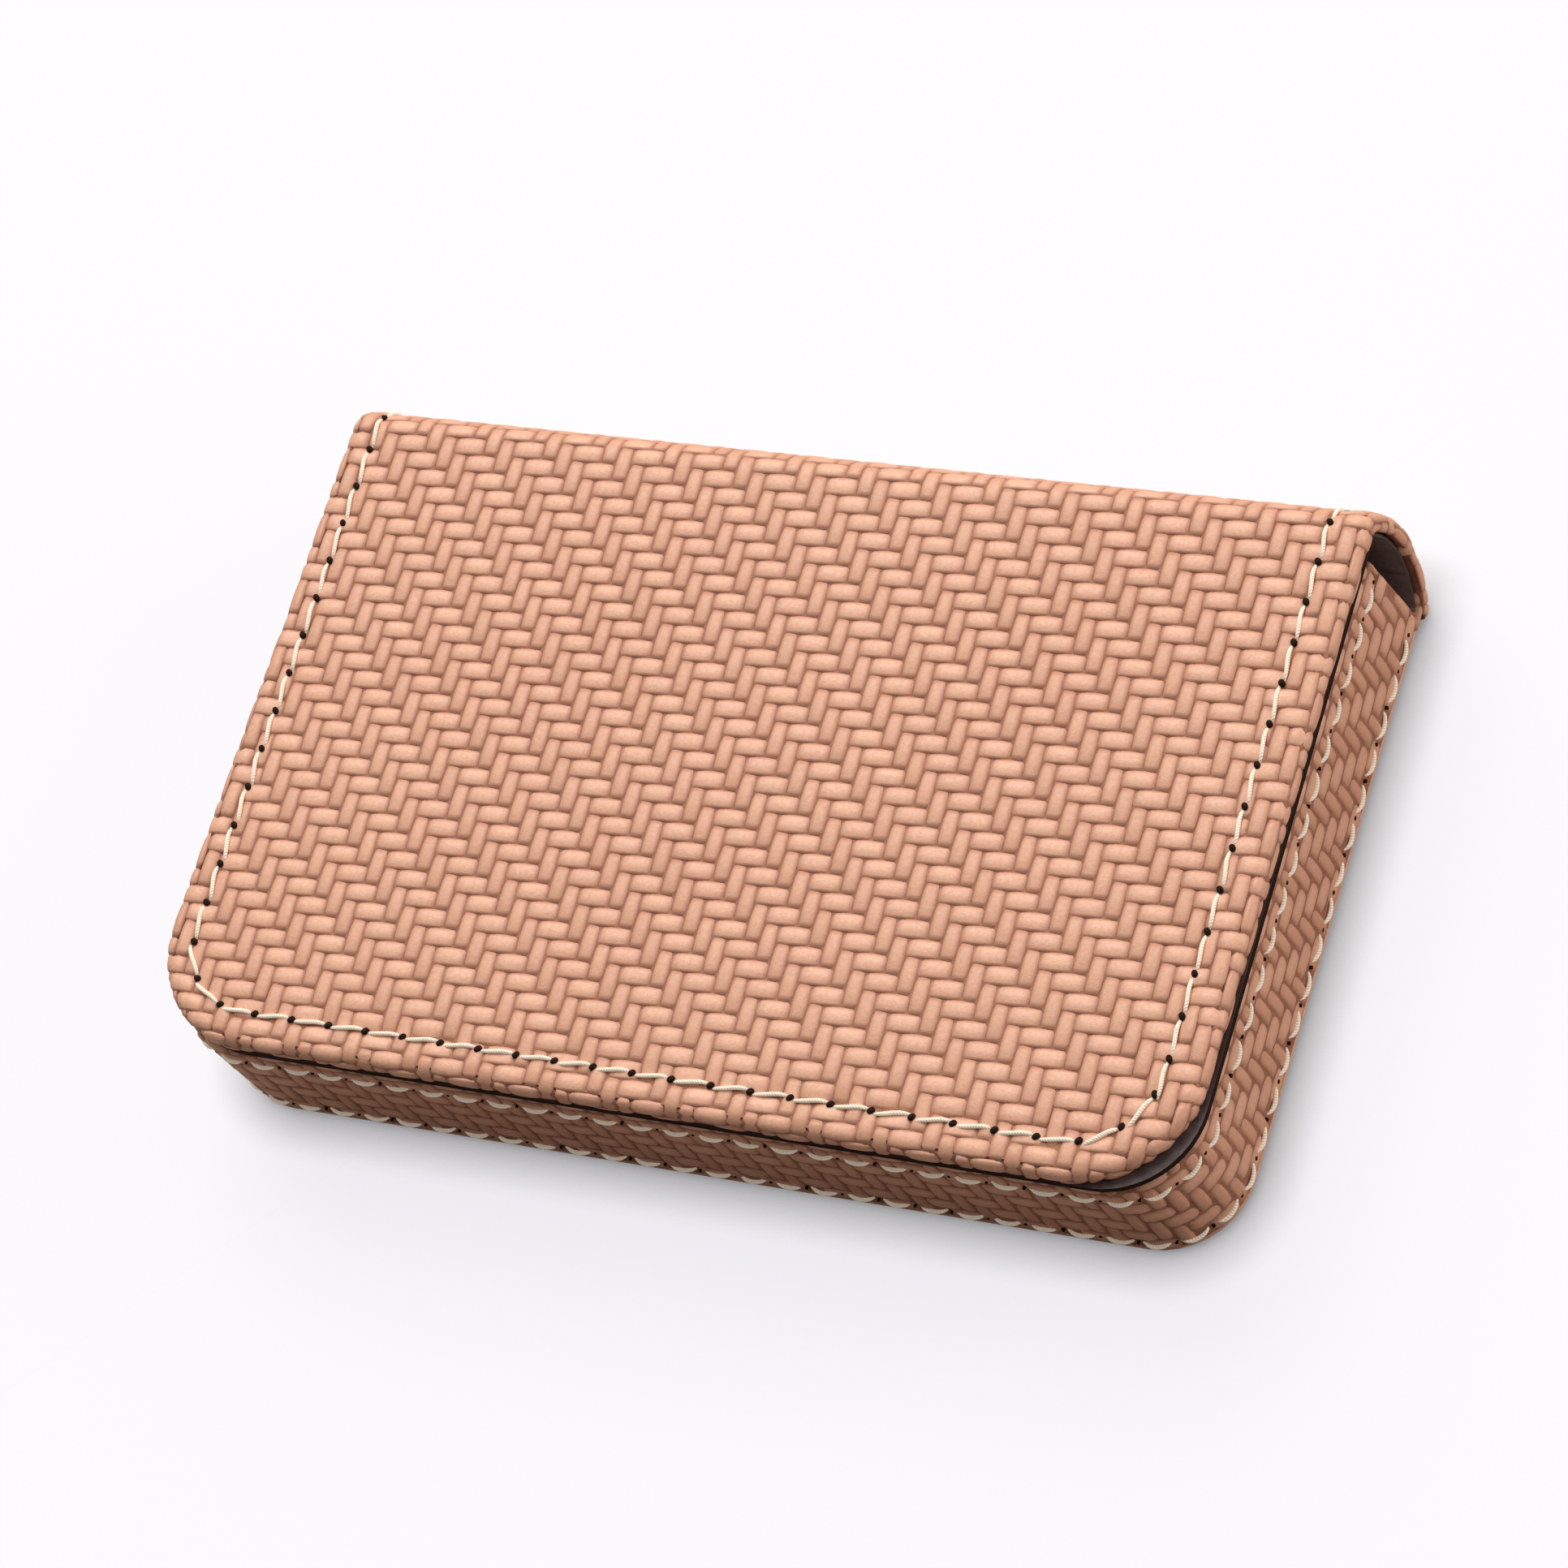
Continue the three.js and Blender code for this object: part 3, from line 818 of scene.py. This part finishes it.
# the lattice's own numbers are read before the points move, so they are stored first
stored = lattice
for name, value in (("lies_across", runs_across), ("lies_up", runs_up), ("is_kept", kept)):
    stored = store(tree, stored, name, value)
moved = moved_to(tree, stored, vector_of(tree, x, y, 0.0))
strands = []
for name, length, width, share in (
    ("lies_across", "Across length", "Across width", 1.0),
    ("lies_up", "Up width", "Up length", 0.0),
):
    read = [
        add_node(tree, "GeometryNodeInputNamedAttribute", {"Name": n}, data_type="FLOAT")
        for n in (name, "is_kept")
    ]
    chosen = times(tree, *(node.outputs["Attribute"] for node in read))
    shape = pillow(tree, given[length], given[width], given)
    placed = on_points(tree, moved, chosen, shape, turned)
    tint = random_value(tree, 0.0, 1.0, given["Seed"])
    for label, value in (("across", share), ("tint", tint)):
        placed = store(tree, placed, label, value, domain="INSTANCE")
    strands.append(placed)
finished = with_material(tree, made_real(tree, strands), given["Strand"])
tree.links.new(finished, out["Geometry"])


# %% [markdown]
# A modifier's inputs are set by the identifier that Blender gives each socket. The result is
# turned into a plain mesh, still flat, and then laid on the case.

# %% Run a tree and lay its result
def run_tree(name, tree, inputs, start=None):
    """The plain mesh that a tree makes, with its inputs set by socket identifier."""
    holder = bpy.data.objects.new(name, start or bpy.data.meshes.new(name + "_start"))
    bpy.context.scene.collection.objects.link(holder)
    modifier = holder.modifiers.new(tree.name, "NODES")
    modifier.node_group = tree
    entries = [item for item in tree.interface.items_tree if item.in_out == "INPUT"]
    sockets = {item.name: item.identifier for item in entries}
    for label, value in inputs.items():
        modifier[sockets[label]] = value
    graph = bpy.context.evaluated_depsgraph_get()
    graph.update()
    mesh = bpy.data.meshes.new_from_object(holder.evaluated_get(graph))
    bpy.data.objects.remove(holder)
    mesh.name = name
    return mesh


def lay_mesh(mesh, lay, flip=False):
    """Moves a flat mesh's points onto the case."""
    points = np.zeros(len(mesh.vertices) * 3, np.float32)
    mesh.vertices.foreach_get("co", points)
    laid = lay(points.reshape(-1, 3).astype(float))
    mesh.vertices.foreach_set("co", laid.astype(np.float32).ravel())
    if flip:
        mesh.flip_normals()
    mesh.update()


weave_sizes = {
    "Column width": 1.585 * mm, "Row height": 1.7665 * mm, "Turn": math.radians(2.29),
    "Start across": 0.04, "Start up": 0.575,
    "Across length": 3.3 * mm, "Across width": 1.82 * mm,
    "Up length": 3.66 * mm, "Up width": 1.52 * mm,
    "Crown": 0.17 * mm, "Depth": 0.3 * mm, "Strand": strand_finish, "Seed": 7,
}


spare_width, spare_rows = 6 * mm, 6


def weave_on(name, shape, start, end, flip=False):
    """The woven strands of a panel whose centres lie between two distances along it."""
    sizes = dict(weave_sizes)
    columns = int(2 * (shape.half + spare_width) / sizes["Column width"]) + 4
    low, high = start / sizes["Row height"], end / sizes["Row height"]
    sizes.update({
        "Columns": columns, "First column": -columns // 2,
        "Rows": int(high - low) + 2 * spare_rows, "First row": -int(high) - spare_rows,
        "Side": shape.side, "Front": shape.front, "Corner": shape.corner,
        "Reach": roll_length + 0.6 * mm, "From": start, "To": end,
    })
    mesh = run_tree(name, weave_tree, sizes)
    lay_mesh(mesh, shape.lay, flip)
    made = new_object(name, mesh)
    print(name, len(mesh.polygons), "faces")
    return made


# %% [markdown]
# ## The outer skin
# The skin crosses three joints. It is cut where it moves as one with a rigid part, half way
# between two fold lines, and each length bends over one joint. Both sides of a cut lie within
# the same rigid part.

# %% Skin of the lid, the spine and the back
cut_high, cut_low = q_at_height(13 * mm), q_at_height(5 * mm)
top_level, under_level = -0.2 * mm, -0.4 * mm
before_edge = -10 * mm
upper, lower = "spine_cover_upper", "spine_cover_lower"
lengths = {
    "lid": (before_edge, cut_high, "spine_upper", "lid", ["lid_cover", upper]),
    "spine": (cut_high, cut_low, "spine_lower", "spine_upper", [upper, lower]),
    "foot": (cut_low, skin_length, "tray", "spine_lower", [lower]),
}


def bend_piece(piece, nodes):
    """Bakes a piece's place into its mesh and hides the CAD nodes that it stands for."""
    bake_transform(piece)
    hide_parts(*nodes)


for part, (start, end, _, _, nodes) in lengths.items():
    ground = panel_sheet(
        part + "_skin", lid_and_spine, start, end, top_level, under_level, ground_finish
    )
    strand = weave_on(part + "_weave", lid_and_spine, start, end)
    for piece in (ground, strand):
        bend_piece(piece, nodes)

back_end = lid_length - 0.1 * mm
back_skin = panel_sheet(
    "back_skin", back, before_edge, back_end, top_level, under_level, ground_finish
)
back_weave = weave_on("back_weave", back, before_edge, back_end - 1 * mm, flip=True)
for piece in (back_skin, back_weave):
    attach(piece, "tray")
    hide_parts("back_cover")

# %% [markdown]
# ## The walls' skin
# The same weave, a little taller in its rows, because the band was stretched upwards when it
# was glued round the core. The strands go over the rim and down inside. They stop above the
# foot, where a plain strip of the same finish, with the strands pressed flat, goes under.

# %% Skin of the walls
wall_step, seam_spacing = 6 * mm, 0.5 * mm
brow_length = brow_round * math.pi / 2
across_top = wall_thickness - 2 * brow_round
brow_start = wall_top - brow_round
band_low = wall_foot + foot_round * (1 - math.pi / 2) - 0.4 * mm
band_high = brow_start + 2 * brow_length + across_top + 2.4 * mm
corner_steps = np.linspace(front_straight, front_straight + corner_length, 10)
side_steps = np.arange(corner_steps[-1] + wall_step, wall_reach, wall_step)
front_steps = np.arange(0, front_straight, wall_step)
half_steps = [*front_steps, *corner_steps, *side_steps, wall_reach + 1 * mm]
around = [-t for t in reversed(half_steps[1:])] + half_steps
foot_steps = wall_foot + foot_round * (1 - np.linspace(math.pi / 2, 0, 6))
brow_steps = brow_start + brow_round * np.linspace(0, math.pi / 2, 4)
inner_steps = brow_steps + brow_length + across_top
seam_steps = [s + k * seam_spacing for s in wall_seams for k in (-2, -1, 0, 1, 2)]
plain_steps = [5 * mm, 8 * mm]
levels = sorted(
    [band_low, *foot_steps, *plain_steps, *seam_steps, *brow_steps, *inner_steps, band_high]
)
flat_band = np.array([(t, v, 0.0) for v in levels for t in around])
outer = lay_on_walls(flat_band + (0, 0, top_level))
inner = lay_on_walls(flat_band + (0, 0, under_level))
band_faces = grid_faces(len(levels), len(around))
wall_skin = closed_sheet("wall_skin", outer, inner, band_faces, ground_finish)

foot_band = 1.1 * mm
foot_strip_top, foot_strip_under = -0.03 * mm, -0.3 * mm
foot_levels = [v for v in levels if v < foot_band - 0.1 * mm] + [foot_band]
flat_foot = np.array([(t, v, 0.0) for v in foot_levels for t in around])
wall_foot_edge = closed_sheet(
    "wall_foot_edge",
    lay_on_walls(flat_foot + (0, 0, foot_strip_top)),
    lay_on_walls(flat_foot + (0, 0, foot_strip_under)),
    grid_faces(len(foot_levels), len(around)),
    strand_finish,
)
# across 0.6 gives the strip part of the across strands' painted light.
for label, value in (("crown", 1.0), ("across", 0.6), ("tint", 0.4)):
    marks = wall_foot_edge.data.attributes.new(label, "FLOAT", "POINT")
    marks.data.foreach_set("value", [value] * len(wall_foot_edge.data.vertices))

wall_row, wall_column = 2.05 * mm, 1.588 * mm
wall_columns = int(2 * wall_reach / wall_column) + 4
wall_sizes = dict(weave_sizes)
wall_sizes.update({
    "Column width": wall_column, "Row height": wall_row, "Turn": 0.0,
    "Start across": 18.8 * mm / wall_column - 12, "Start up": 8.0 * mm / wall_row - 3 + 0.5,
    "Across width": 1.94 * mm, "Up length": 4.1 * mm, "Up width": 1.42 * mm,
    "Crown": 0.22 * mm, "Columns": wall_columns, "First column": -wall_columns // 2,
    "Rows": 16, "First row": -12, "Side": wall_reach - 0.9 * mm, "Front": -1.0,
    "Corner": 0.0, "Reach": 0.001 * mm, "From": foot_band + 0.5 * mm,
    "To": band_high - 0.6 * mm,
})
wall_weave = new_object("wall_weave", run_tree("wall_weave", weave_tree, wall_sizes))
lay_mesh(wall_weave.data, lay_on_walls)
print("wall_weave", len(wall_weave.data.polygons), "faces")


end_thickness, end_cover = 0.6 * mm, 0.16 * mm
end_top = wall_top * (1 + wall_rise)
end_section = [
    (0.25 * mm, 1.2 * mm), (0.25 * mm, end_top - 0.9 * mm), (0.9 * mm, end_top - 0.25 * mm),
    (2.5 * mm, end_top - 0.25 * mm), (3.15 * mm, end_top - 0.9 * mm),
    (3.15 * mm, 2.1 * mm), (0.9 * mm, 0.5 * mm),
]


def wall_end(name, side):
    """The skin over a wall's slanted end: a closed plate that follows the wall's section."""
    x = np.array([side * (wall_half - inward) for inward, _ in end_section])
    z = np.array([up for _, up in end_section])
    plate = np.stack([x, end_of_wall(z) + end_cover, z], 1)
    faces = [list(range(len(end_section)))]
    return closed_sheet(name, plate, plate - (0, end_thickness, 0), faces, ground_finish)


wall_ends = [wall_end("wall_end_left", -1), wall_end("wall_end_right", 1)]
for piece in (wall_skin, wall_weave, wall_foot_edge, *wall_ends):
    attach(piece, "tray")
    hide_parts("wall_cover")

# %% [markdown]
# ## The seams
# A lock stitch shows as a row of short lengths of thread, each of which dives into a needle
# hole at both ends. The seam line is drawn flat and walked in steps of half a stitch: the tree
# puts a near-black cup, painted shade for a needle hole, on every other step and a stitch on the
# steps between. Each stitch lies at a slight slant, as a machine's do.

# %% Stitch tree
stitch_tree, given, out = new_tree(
    "GeometryNodeTree",
    "Stitches",
    [
        ("Geometry", "NodeSocketGeometry"),
        ("Pitch", NUMBER), ("Length", NUMBER), ("Thickness", NUMBER),
        ("Lift", NUMBER), ("Sink", NUMBER), ("Sag", NUMBER), ("Slant", NUMBER), ("Hole", NUMBER),
        ("From", NUMBER), ("To", NUMBER),
        ("Thread", "NodeSocketMaterial"), ("Dark", "NodeSocketMaterial"), ("Seed", WHOLE),
    ],
    [("Geometry", "NodeSocketGeometry")],
)
tree = stitch_tree
line = add_node(tree, "GeometryNodeMeshToCurve", {"Mesh": given["Geometry"]}).outputs[0]
wires = {"Vertices": 8, "Side Segments": 7, "Radius": 1.0, "Depth": 1.0}
rod = add_node(tree, "GeometryNodeMeshCylinder", wires, fill_type="NGON").outputs["Mesh"]
thinning, curl_size = 0.45, 0.06 * mm
place = add_node(tree, "GeometryNodeInputPosition").outputs[0]
rx, ry, rz = split_up(tree, place)
end = times(tree, maths(tree, "ABSOLUTE", rz), 2.0)
taper = maths(tree, "MULTIPLY_ADD", maths(tree, "POWER", end, 4.0), -thinning, 1.0)
thick = times(tree, times(tree, given["Thickness"], 0.5), taper)
drop = times(tree, maths(tree, "POWER", end, 3.0), given["Sink"])
sag = times(tree, minus(tree, maths(tree, "POWER", end, 2.0), 1.0), given["Sag"])
sx = times(tree, rz, given["Length"])
curl = times(tree, maths(tree, "SINE", times(tree, rz, 2 * math.pi)), curl_size)
sy = plus(tree, maths(tree, "MULTIPLY_ADD", ry, thick, sag), curl)
raised = minus(tree, given["Lift"], drop)
sz = maths(tree, "MULTIPLY_ADD", rx, times(tree, thick, -1.0), raised)
where = vector_of(tree, sx, sy, sz)
bent = moved_to(tree, rod, where)
spot = add_node(tree, "GeometryNodeInputPosition").outputs[0]
marked = store(tree, bent, "spot", spot, data_type="FLOAT_VECTOR")
thread = with_material(tree, marked, given["Thread"])
# A near-black cup on each hole: painted shade.
wires = {"Vertices": 10, "Radius": given["Hole"], "Depth": 0.3 * mm}
cup = add_node(tree, "GeometryNodeMeshCylinder", wires, fill_type="NGON").outputs["Mesh"]
wires = {"Geometry": cup, "Translation": (0, 0, -0.06 * mm)}
wires.update({"Rotation": (0, 0, 0.5), "Scale": (1.2, 0.9, 1)})
slot = add_node(tree, "GeometryNodeTransform", wires).outputs[0]
dark = with_material(tree, slot, given["Dark"])
wires = {"Curve": line, "Length": times(tree, given["Pitch"], 0.5)}
steps = add_node(tree, "GeometryNodeCurveToPoints", wires, mode="LENGTH")
centre = add_node(tree, "GeometryNodeInputPosition").outputs[0]
_, cy, _ = split_up(tree, centre)
after = maths(tree, "GREATER_THAN", cy, given["From"])
inside = times(tree, after, maths(tree, "LESS_THAN", cy, given["To"]))
kind, wires = "FunctionNodeAlignRotationToVector", {"Vector": steps.outputs["Tangent"]}
aimed = add_node(tree, kind, wires, axis="X", pivot_axis="Z").outputs[0]
wobble = 0.035
slant = plus(tree, given["Slant"], random_value(tree, -wobble, wobble, given["Seed"]))
wires = {"Rotation": aimed, "Rotate By": vector_of(tree, 0.0, 0.0, slant)}
kind = "FunctionNodeRotateRotation"
turned = add_node(tree, kind, wires, rotation_space="LOCAL").outputs[0]
index = add_node(tree, "GeometryNodeInputIndex").outputs[0]
odd = maths(tree, "FLOORED_MODULO", index, 2.0)
even = minus(tree, 1.0, odd)
parts = []
for every_other, shape in ((odd, thread), (even, dark)):
    chosen = times(tree, inside, every_other)
    parts.append(on_points(tree, steps.outputs["Points"], chosen, shape, turned))
tree.links.new(made_real(tree, parts), out["Geometry"])


# %% [markdown]
# The lid's seam starts at the right end of the back's fold. It runs over the spine and the
# lid's right side, round the front, and back along the left. It is sewn in two runs, which
# meet in a short stitch just before the right front corner. The walls have two rows, whose
# stitches sag a little between their holes.

# %% Seam lines and stitches
def cut_line(points, start, end):
    """The part of a flat line between two distances along it."""
    points = np.array(points)
    passed = np.concatenate([[0], np.cumsum(np.hypot(*np.diff(points, axis=0).T))])
    between = passed[(passed > start) & (passed < end)]
    stops = [start, *between, min(end, passed[-1])]
    return [tuple(np.interp(s, passed, points[:, k]) for k in (0, 1)) for s in stops]


def seam_line(name, runs):
    mesh = bpy.data.meshes.new(name + "_line")
    joined, links = [], []
    for points in runs:
        links += [(len(joined) + i, len(joined) + i + 1) for i in range(len(points) - 1)]
        joined += [(x, y, 0.0) for x, y in points]
    mesh.from_pydata(joined, links, [])
    return mesh


def panel_seam(shape, end):
    """The seam's flat line, at its distance from the panel's edge."""
    side = shape.half - shape.seam
    low = shape.inset + shape.seam
    radius = shape.radius - shape.seam
    arc = [
        (side - radius + radius * math.cos(a), low + radius - radius * math.sin(a))
        for a in np.linspace(0, math.pi / 2, 12)
    ]
    right = [(side, end), *arc]
    left = [(-x, y) for x, y in reversed(right)]
    return [(x - shape.slip, y) for x, y in right + left]


stitch_sizes = {
    "Pitch": 3.955 * mm, "Length": 3.5 * mm, "Thickness": 0.42 * mm, "Lift": 0.13 * mm,
    "Sink": 0.3 * mm, "Sag": 0.0, "Slant": math.radians(5), "Hole": 0.33 * mm,
    "From": -1.0, "To": 1.0,
    "Thread": thread_finish, "Dark": hole_shade_finish, "Seed": 3,
}


def stitches(name, runs, lay, flip=False, **changes):
    sizes = dict(stitch_sizes, **changes)
    mesh = run_tree(name, stitch_tree, sizes, seam_line(name, runs))
    lay_mesh(mesh, lay, flip)
    print(name, len(mesh.polygons), "faces")
    return new_object(name, mesh)


upper_threads = ["spine_stitching_left_upper", "spine_stitching_right_upper"]
lower_threads = ["spine_stitching_left_lower", "spine_stitching_right_lower"]
thread_nodes = {
    "lid": ["lid_stitching", *upper_threads],
    "spine": [*upper_threads, *lower_threads],
    "foot": lower_threads,
}
half_stitch, stitches_before_corner = 1.98 * mm, 17
short_stitch = 1.39 * mm
lid_line = panel_seam(lid_and_spine, skin_length)
turned_at = skin_length - lid_corner + 2.3 * mm
first_end = turned_at - short_stitch
first_start = first_end - (2 * stitches_before_corner - 1) * half_stitch
lid_seam = [cut_line(lid_line, first_start, first_end), cut_line(lid_line, turned_at, 1.0)]
print("the seam's first hole lies", round(first_start / mm, 2), "mm from the back's fold")
for part, (start, end, *_) in lengths.items():
    piece = stitches(part + "_stitches", lid_seam, lid_and_spine.lay, From=start, To=end)
    bend_piece(piece, thread_nodes[part])

back_stitches = stitches("back_stitches", [panel_seam(back, back_end)], back.lay, flip=True)
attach(back_stitches, "tray")
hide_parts("back_stitching")

wall_stitch = {
    "Pitch": 3.6 * mm, "Length": 2.75 * mm, "Thickness": 0.4 * mm, "Lift": 0.12 * mm,
    "Sag": 0.26 * mm, "Slant": 0.0, "Hole": 0.15 * mm,
}
ends = wall_reach - 2.6 * mm
for row, seam in zip(("lower", "upper"), wall_seams):
    line = [(-ends, seam), (ends, seam)]
    piece = stitches(f"wall_{row}_stitches", [line], lay_on_walls, **wall_stitch)
    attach(piece, "tray")
    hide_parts(f"wall_{row}_stitching")

# %% [markdown]
# ## The spine's lining
# The lining follows the skin round the inside of the spine. It bends over the same joints,
# so it is laid as three lengths along the same path, below the board.

# %% Lining of the spine
class Strip(Panel):
    """A plain strip along the skin's path, with no turned edges and no seam."""

    def lay(self, flat):
        u, q, n = flat.T
        y, z, angle = self.along(q)
        return np.stack([u, y + n * np.cos(angle), z + n * np.sin(angle)], 1)


lining_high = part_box("spine_lining_lower")[1]
lining_path = Strip(lining_high.x, 0, corner_radius, along_skin, seam_margin)
glue = 0.05 * mm
lining_top = -panel - glue
lining_nodes = {
    "lid": ["spine_lining_upper"],
    "spine": ["spine_lining_upper", "spine_lining_lower"],
    "foot": ["spine_lining_lower"],
}
for part, (start, end, *_) in lengths.items():
    rows = np.linspace(max(start, lid_length), end, 14)
    columns = np.linspace(-lining_high.x, lining_high.x, 9)
    flat = np.array([(u, q, 0.0) for q in rows for u in columns])
    outer = lining_path.lay(flat + (0, 0, lining_top))
    inner = lining_path.lay(flat + (0, 0, lining_top - lining + glue))
    faces = grid_faces(len(rows), len(columns))
    piece = closed_sheet(part + "_bend_lining", outer, inner, faces, lining_finish)
    bend_piece(piece, lining_nodes[part])

# %% [markdown]
# The lid's lining was cut by hand and lies a little to the right under the lid. It shows along
# the right side and round the right corner, where the lid's cover is cut rounder. Its cut edge
# is painted almost black: painted shade for the dark gap between the lid and the walls.

# %% Lining of the lid
sheet_low, sheet_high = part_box("lid_lining")
sheet_left, sheet_right = sheet_low.x + 0.4 * mm, sheet_high.x + 0.25 * mm
sheet_front, sheet_rear = sheet_low.y + 0.02 * mm, sheet_high.y
left_round, right_round = lid_corner, corner_radius
right_taper = 0.55 * mm
outline = [(sheet_left, sheet_rear)]
for a in np.linspace(0, math.pi / 2, 13):
    outline.append((
        sheet_left + left_round * (1 - math.cos(a)), sheet_front + left_round * (1 - math.sin(a))
    ))
for a in np.linspace(0, math.pi / 2, 13):
    outline.append((
        sheet_right - right_round * (1 - math.sin(a)),
        sheet_front + right_round * (1 - math.cos(a)),
    ))
outline.append((sheet_right - right_taper, sheet_rear))
upper_face = np.array([(x, y, sheet_high.z) for x, y in outline])
lower_face = upper_face - (0, 0, sheet_high.z - sheet_low.z)
faces = [list(range(len(outline)))]
lid_sheet = closed_sheet("lid_lining_sheet", upper_face, lower_face, faces, lining_finish)
# The lining's cut edge takes the near-black finish: painted shade.
painted_shade_edge = hole_shade_finish
lid_sheet.data.materials.append(painted_shade_edge)
for face in lid_sheet.data.polygons:
    face.use_smooth = False
    face.material_index = int(abs(face.normal.z) < 0.5)
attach(lid_sheet, "lid")
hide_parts("lid_lining")

# %% [markdown]
# ## Parts that keep their CAD shape
# The flat linings, the boards, the magnets and the keepers already have the right shape, so
# they only get their finish.

# %% Finish the CAD nodes
finish_of_slot = {
    "dark_lining": lining_finish,
    "greyboard": board_finish,
    "nickel_steel": nickel_finish,
    "woven_leatherette": ground_finish,
    "cream_thread": thread_finish,
}
for row in frame["record"]["subparts"]:
    node = frame["nodes"][row["node"]]
    node.data.materials.clear()
    node.data.materials.append(finish_of_slot[row["material_slot"]])

# %% [markdown]
# ## Floor, light and camera
# The case lies on a plain pale sweep. One broad soft light stands behind and above it to the
# left, and a weaker one fills its right side. The room is almost white, but darker on the
# side of the opening edge, so the front wall falls into shade. The floor gives back less than
# half of its light to the case. To the camera alone it glows, and ambient occlusion dims the
# glow close under the walls: a painted contact shadow, which keeps the cast shadow faint and
# the contact dark.

# %% Floor
floor_mesh = bpy.data.meshes.new("floor")
reach = 6
floor_corners = [(-reach, -reach, 0), (reach, -reach, 0), (reach, reach, 0), (-reach, reach, 0)]
floor_mesh.from_pydata(floor_corners, [], [(0, 1, 2, 3)])
floor_finish, tree, shader = new_finish("Pale floor", Roughness=0.9, Specular_IOR_Level=0.0)
cloud = group_node(tree, cloud_group, Patch_size=0.8, Low=0.0, High=1.0)["Value"]
thrown = mixed(tree, cloud, (0.46, 0.37, 0.32), (0.47, 0.38, 0.33))
seen = add_node(tree, "ShaderNodeLightPath").outputs["Is Camera Ray"]
colour = mixed(tree, seen, thrown, (0.16, 0.155, 0.15))
tree.links.new(colour, shader.inputs["Base Color"])
shader.inputs["Emission Color"].default_value = (0.975, 0.965, 1.0, 1)
# The glow dims close under the case: painted contact shadow.
wires = {"Distance": 5 * mm}
open_air = add_node(tree, "ShaderNodeAmbientOcclusion", wires, samples=8).outputs["AO"]
glow = stepped(tree, open_air, 0.3, 1.0, 0.22, 0.83)
tree.links.new(times(tree, seen, glow), shader.inputs["Emission Strength"])
floor = new_object("floor", floor_mesh, floor_finish)
floor.location.z = -0.05 * mm

# %% Light
def area_light(name, place, width, watts, colour):
    """A square soft light at a place, aimed at the middle of the case."""
    data = bpy.data.lights.new(name, "AREA")
    data.shape, data.size, data.energy, data.color = "SQUARE", width, watts, colour
    lamp = bpy.data.objects.new(name, data)
    bpy.context.scene.collection.objects.link(lamp)
    lamp.location = place
    lamp.rotation_mode = "QUATERNION"
    lamp.rotation_quaternion = (-Vector(place)).to_track_quat("-Z", "Y")


area_light("key", place=(-0.45, 0.8, 1.0), width=1.0, watts=16, colour=(1, 0.98, 0.955))
area_light("side", place=(1.1, 0.45, 0.45), width=0.6, watts=5, colour=(1, 0.97, 0.945))
world = bpy.data.worlds.new("white room")
bpy.context.scene.world = world
world.use_nodes = True
tree = world.node_tree
room = tree.nodes["Background"]
direction = add_node(tree, "ShaderNodeTexCoord").outputs["Generated"]
_, depth, _ = split_up(tree, direction)
lit = stepped(tree, depth, -0.55, 0.3, 0.1, 0.72)
seen = add_node(tree, "ShaderNodeLightPath").outputs["Is Camera Ray"]
strength = add_node(tree, "ShaderNodeMix", data_type="FLOAT")
tree.links.new(seen, strength.inputs[0])
tree.links.new(lit, strength.inputs[2])
backdrop_strength = 0.98
strength.inputs[3].default_value = backdrop_strength
tree.links.new(strength.outputs[0], room.inputs["Strength"])
room.inputs["Color"].default_value = (0.97, 0.965, 1.0, 1)
bpy.context.scene.view_settings.view_transform = "Standard"

# %% [markdown]
# The camera looks down at the near right corner through a long lens, and it is turned on its
# axis, so the long edges run up to the left.

# %% Camera
azimuth, elevation, roll = (math.radians(a) for a in (54.548, 54.987, 41.608))
aim = Vector((0.096, 1.968, 9.745)) * mm
distance = 549.66 * mm
flat_share = math.cos(elevation)
toward = Vector((
    math.sin(azimuth) * flat_share, -math.cos(azimuth) * flat_share, math.sin(elevation)
))
level = Vector((math.cos(azimuth), math.sin(azimuth), 0))
up = toward.cross(level) * math.cos(roll) + level * math.sin(roll)
right = up.cross(toward)
camera_data = bpy.data.cameras.new("camera")
camera_data.sensor_width = 36
camera_data.lens = 139.33
camera = bpy.data.objects.new("camera", camera_data)
bpy.context.scene.collection.objects.link(camera)
turn = Matrix((right, up, toward)).transposed().to_4x4()
camera.matrix_world = Matrix.Translation(aim + toward * distance) @ turn
bpy.context.scene.camera = camera
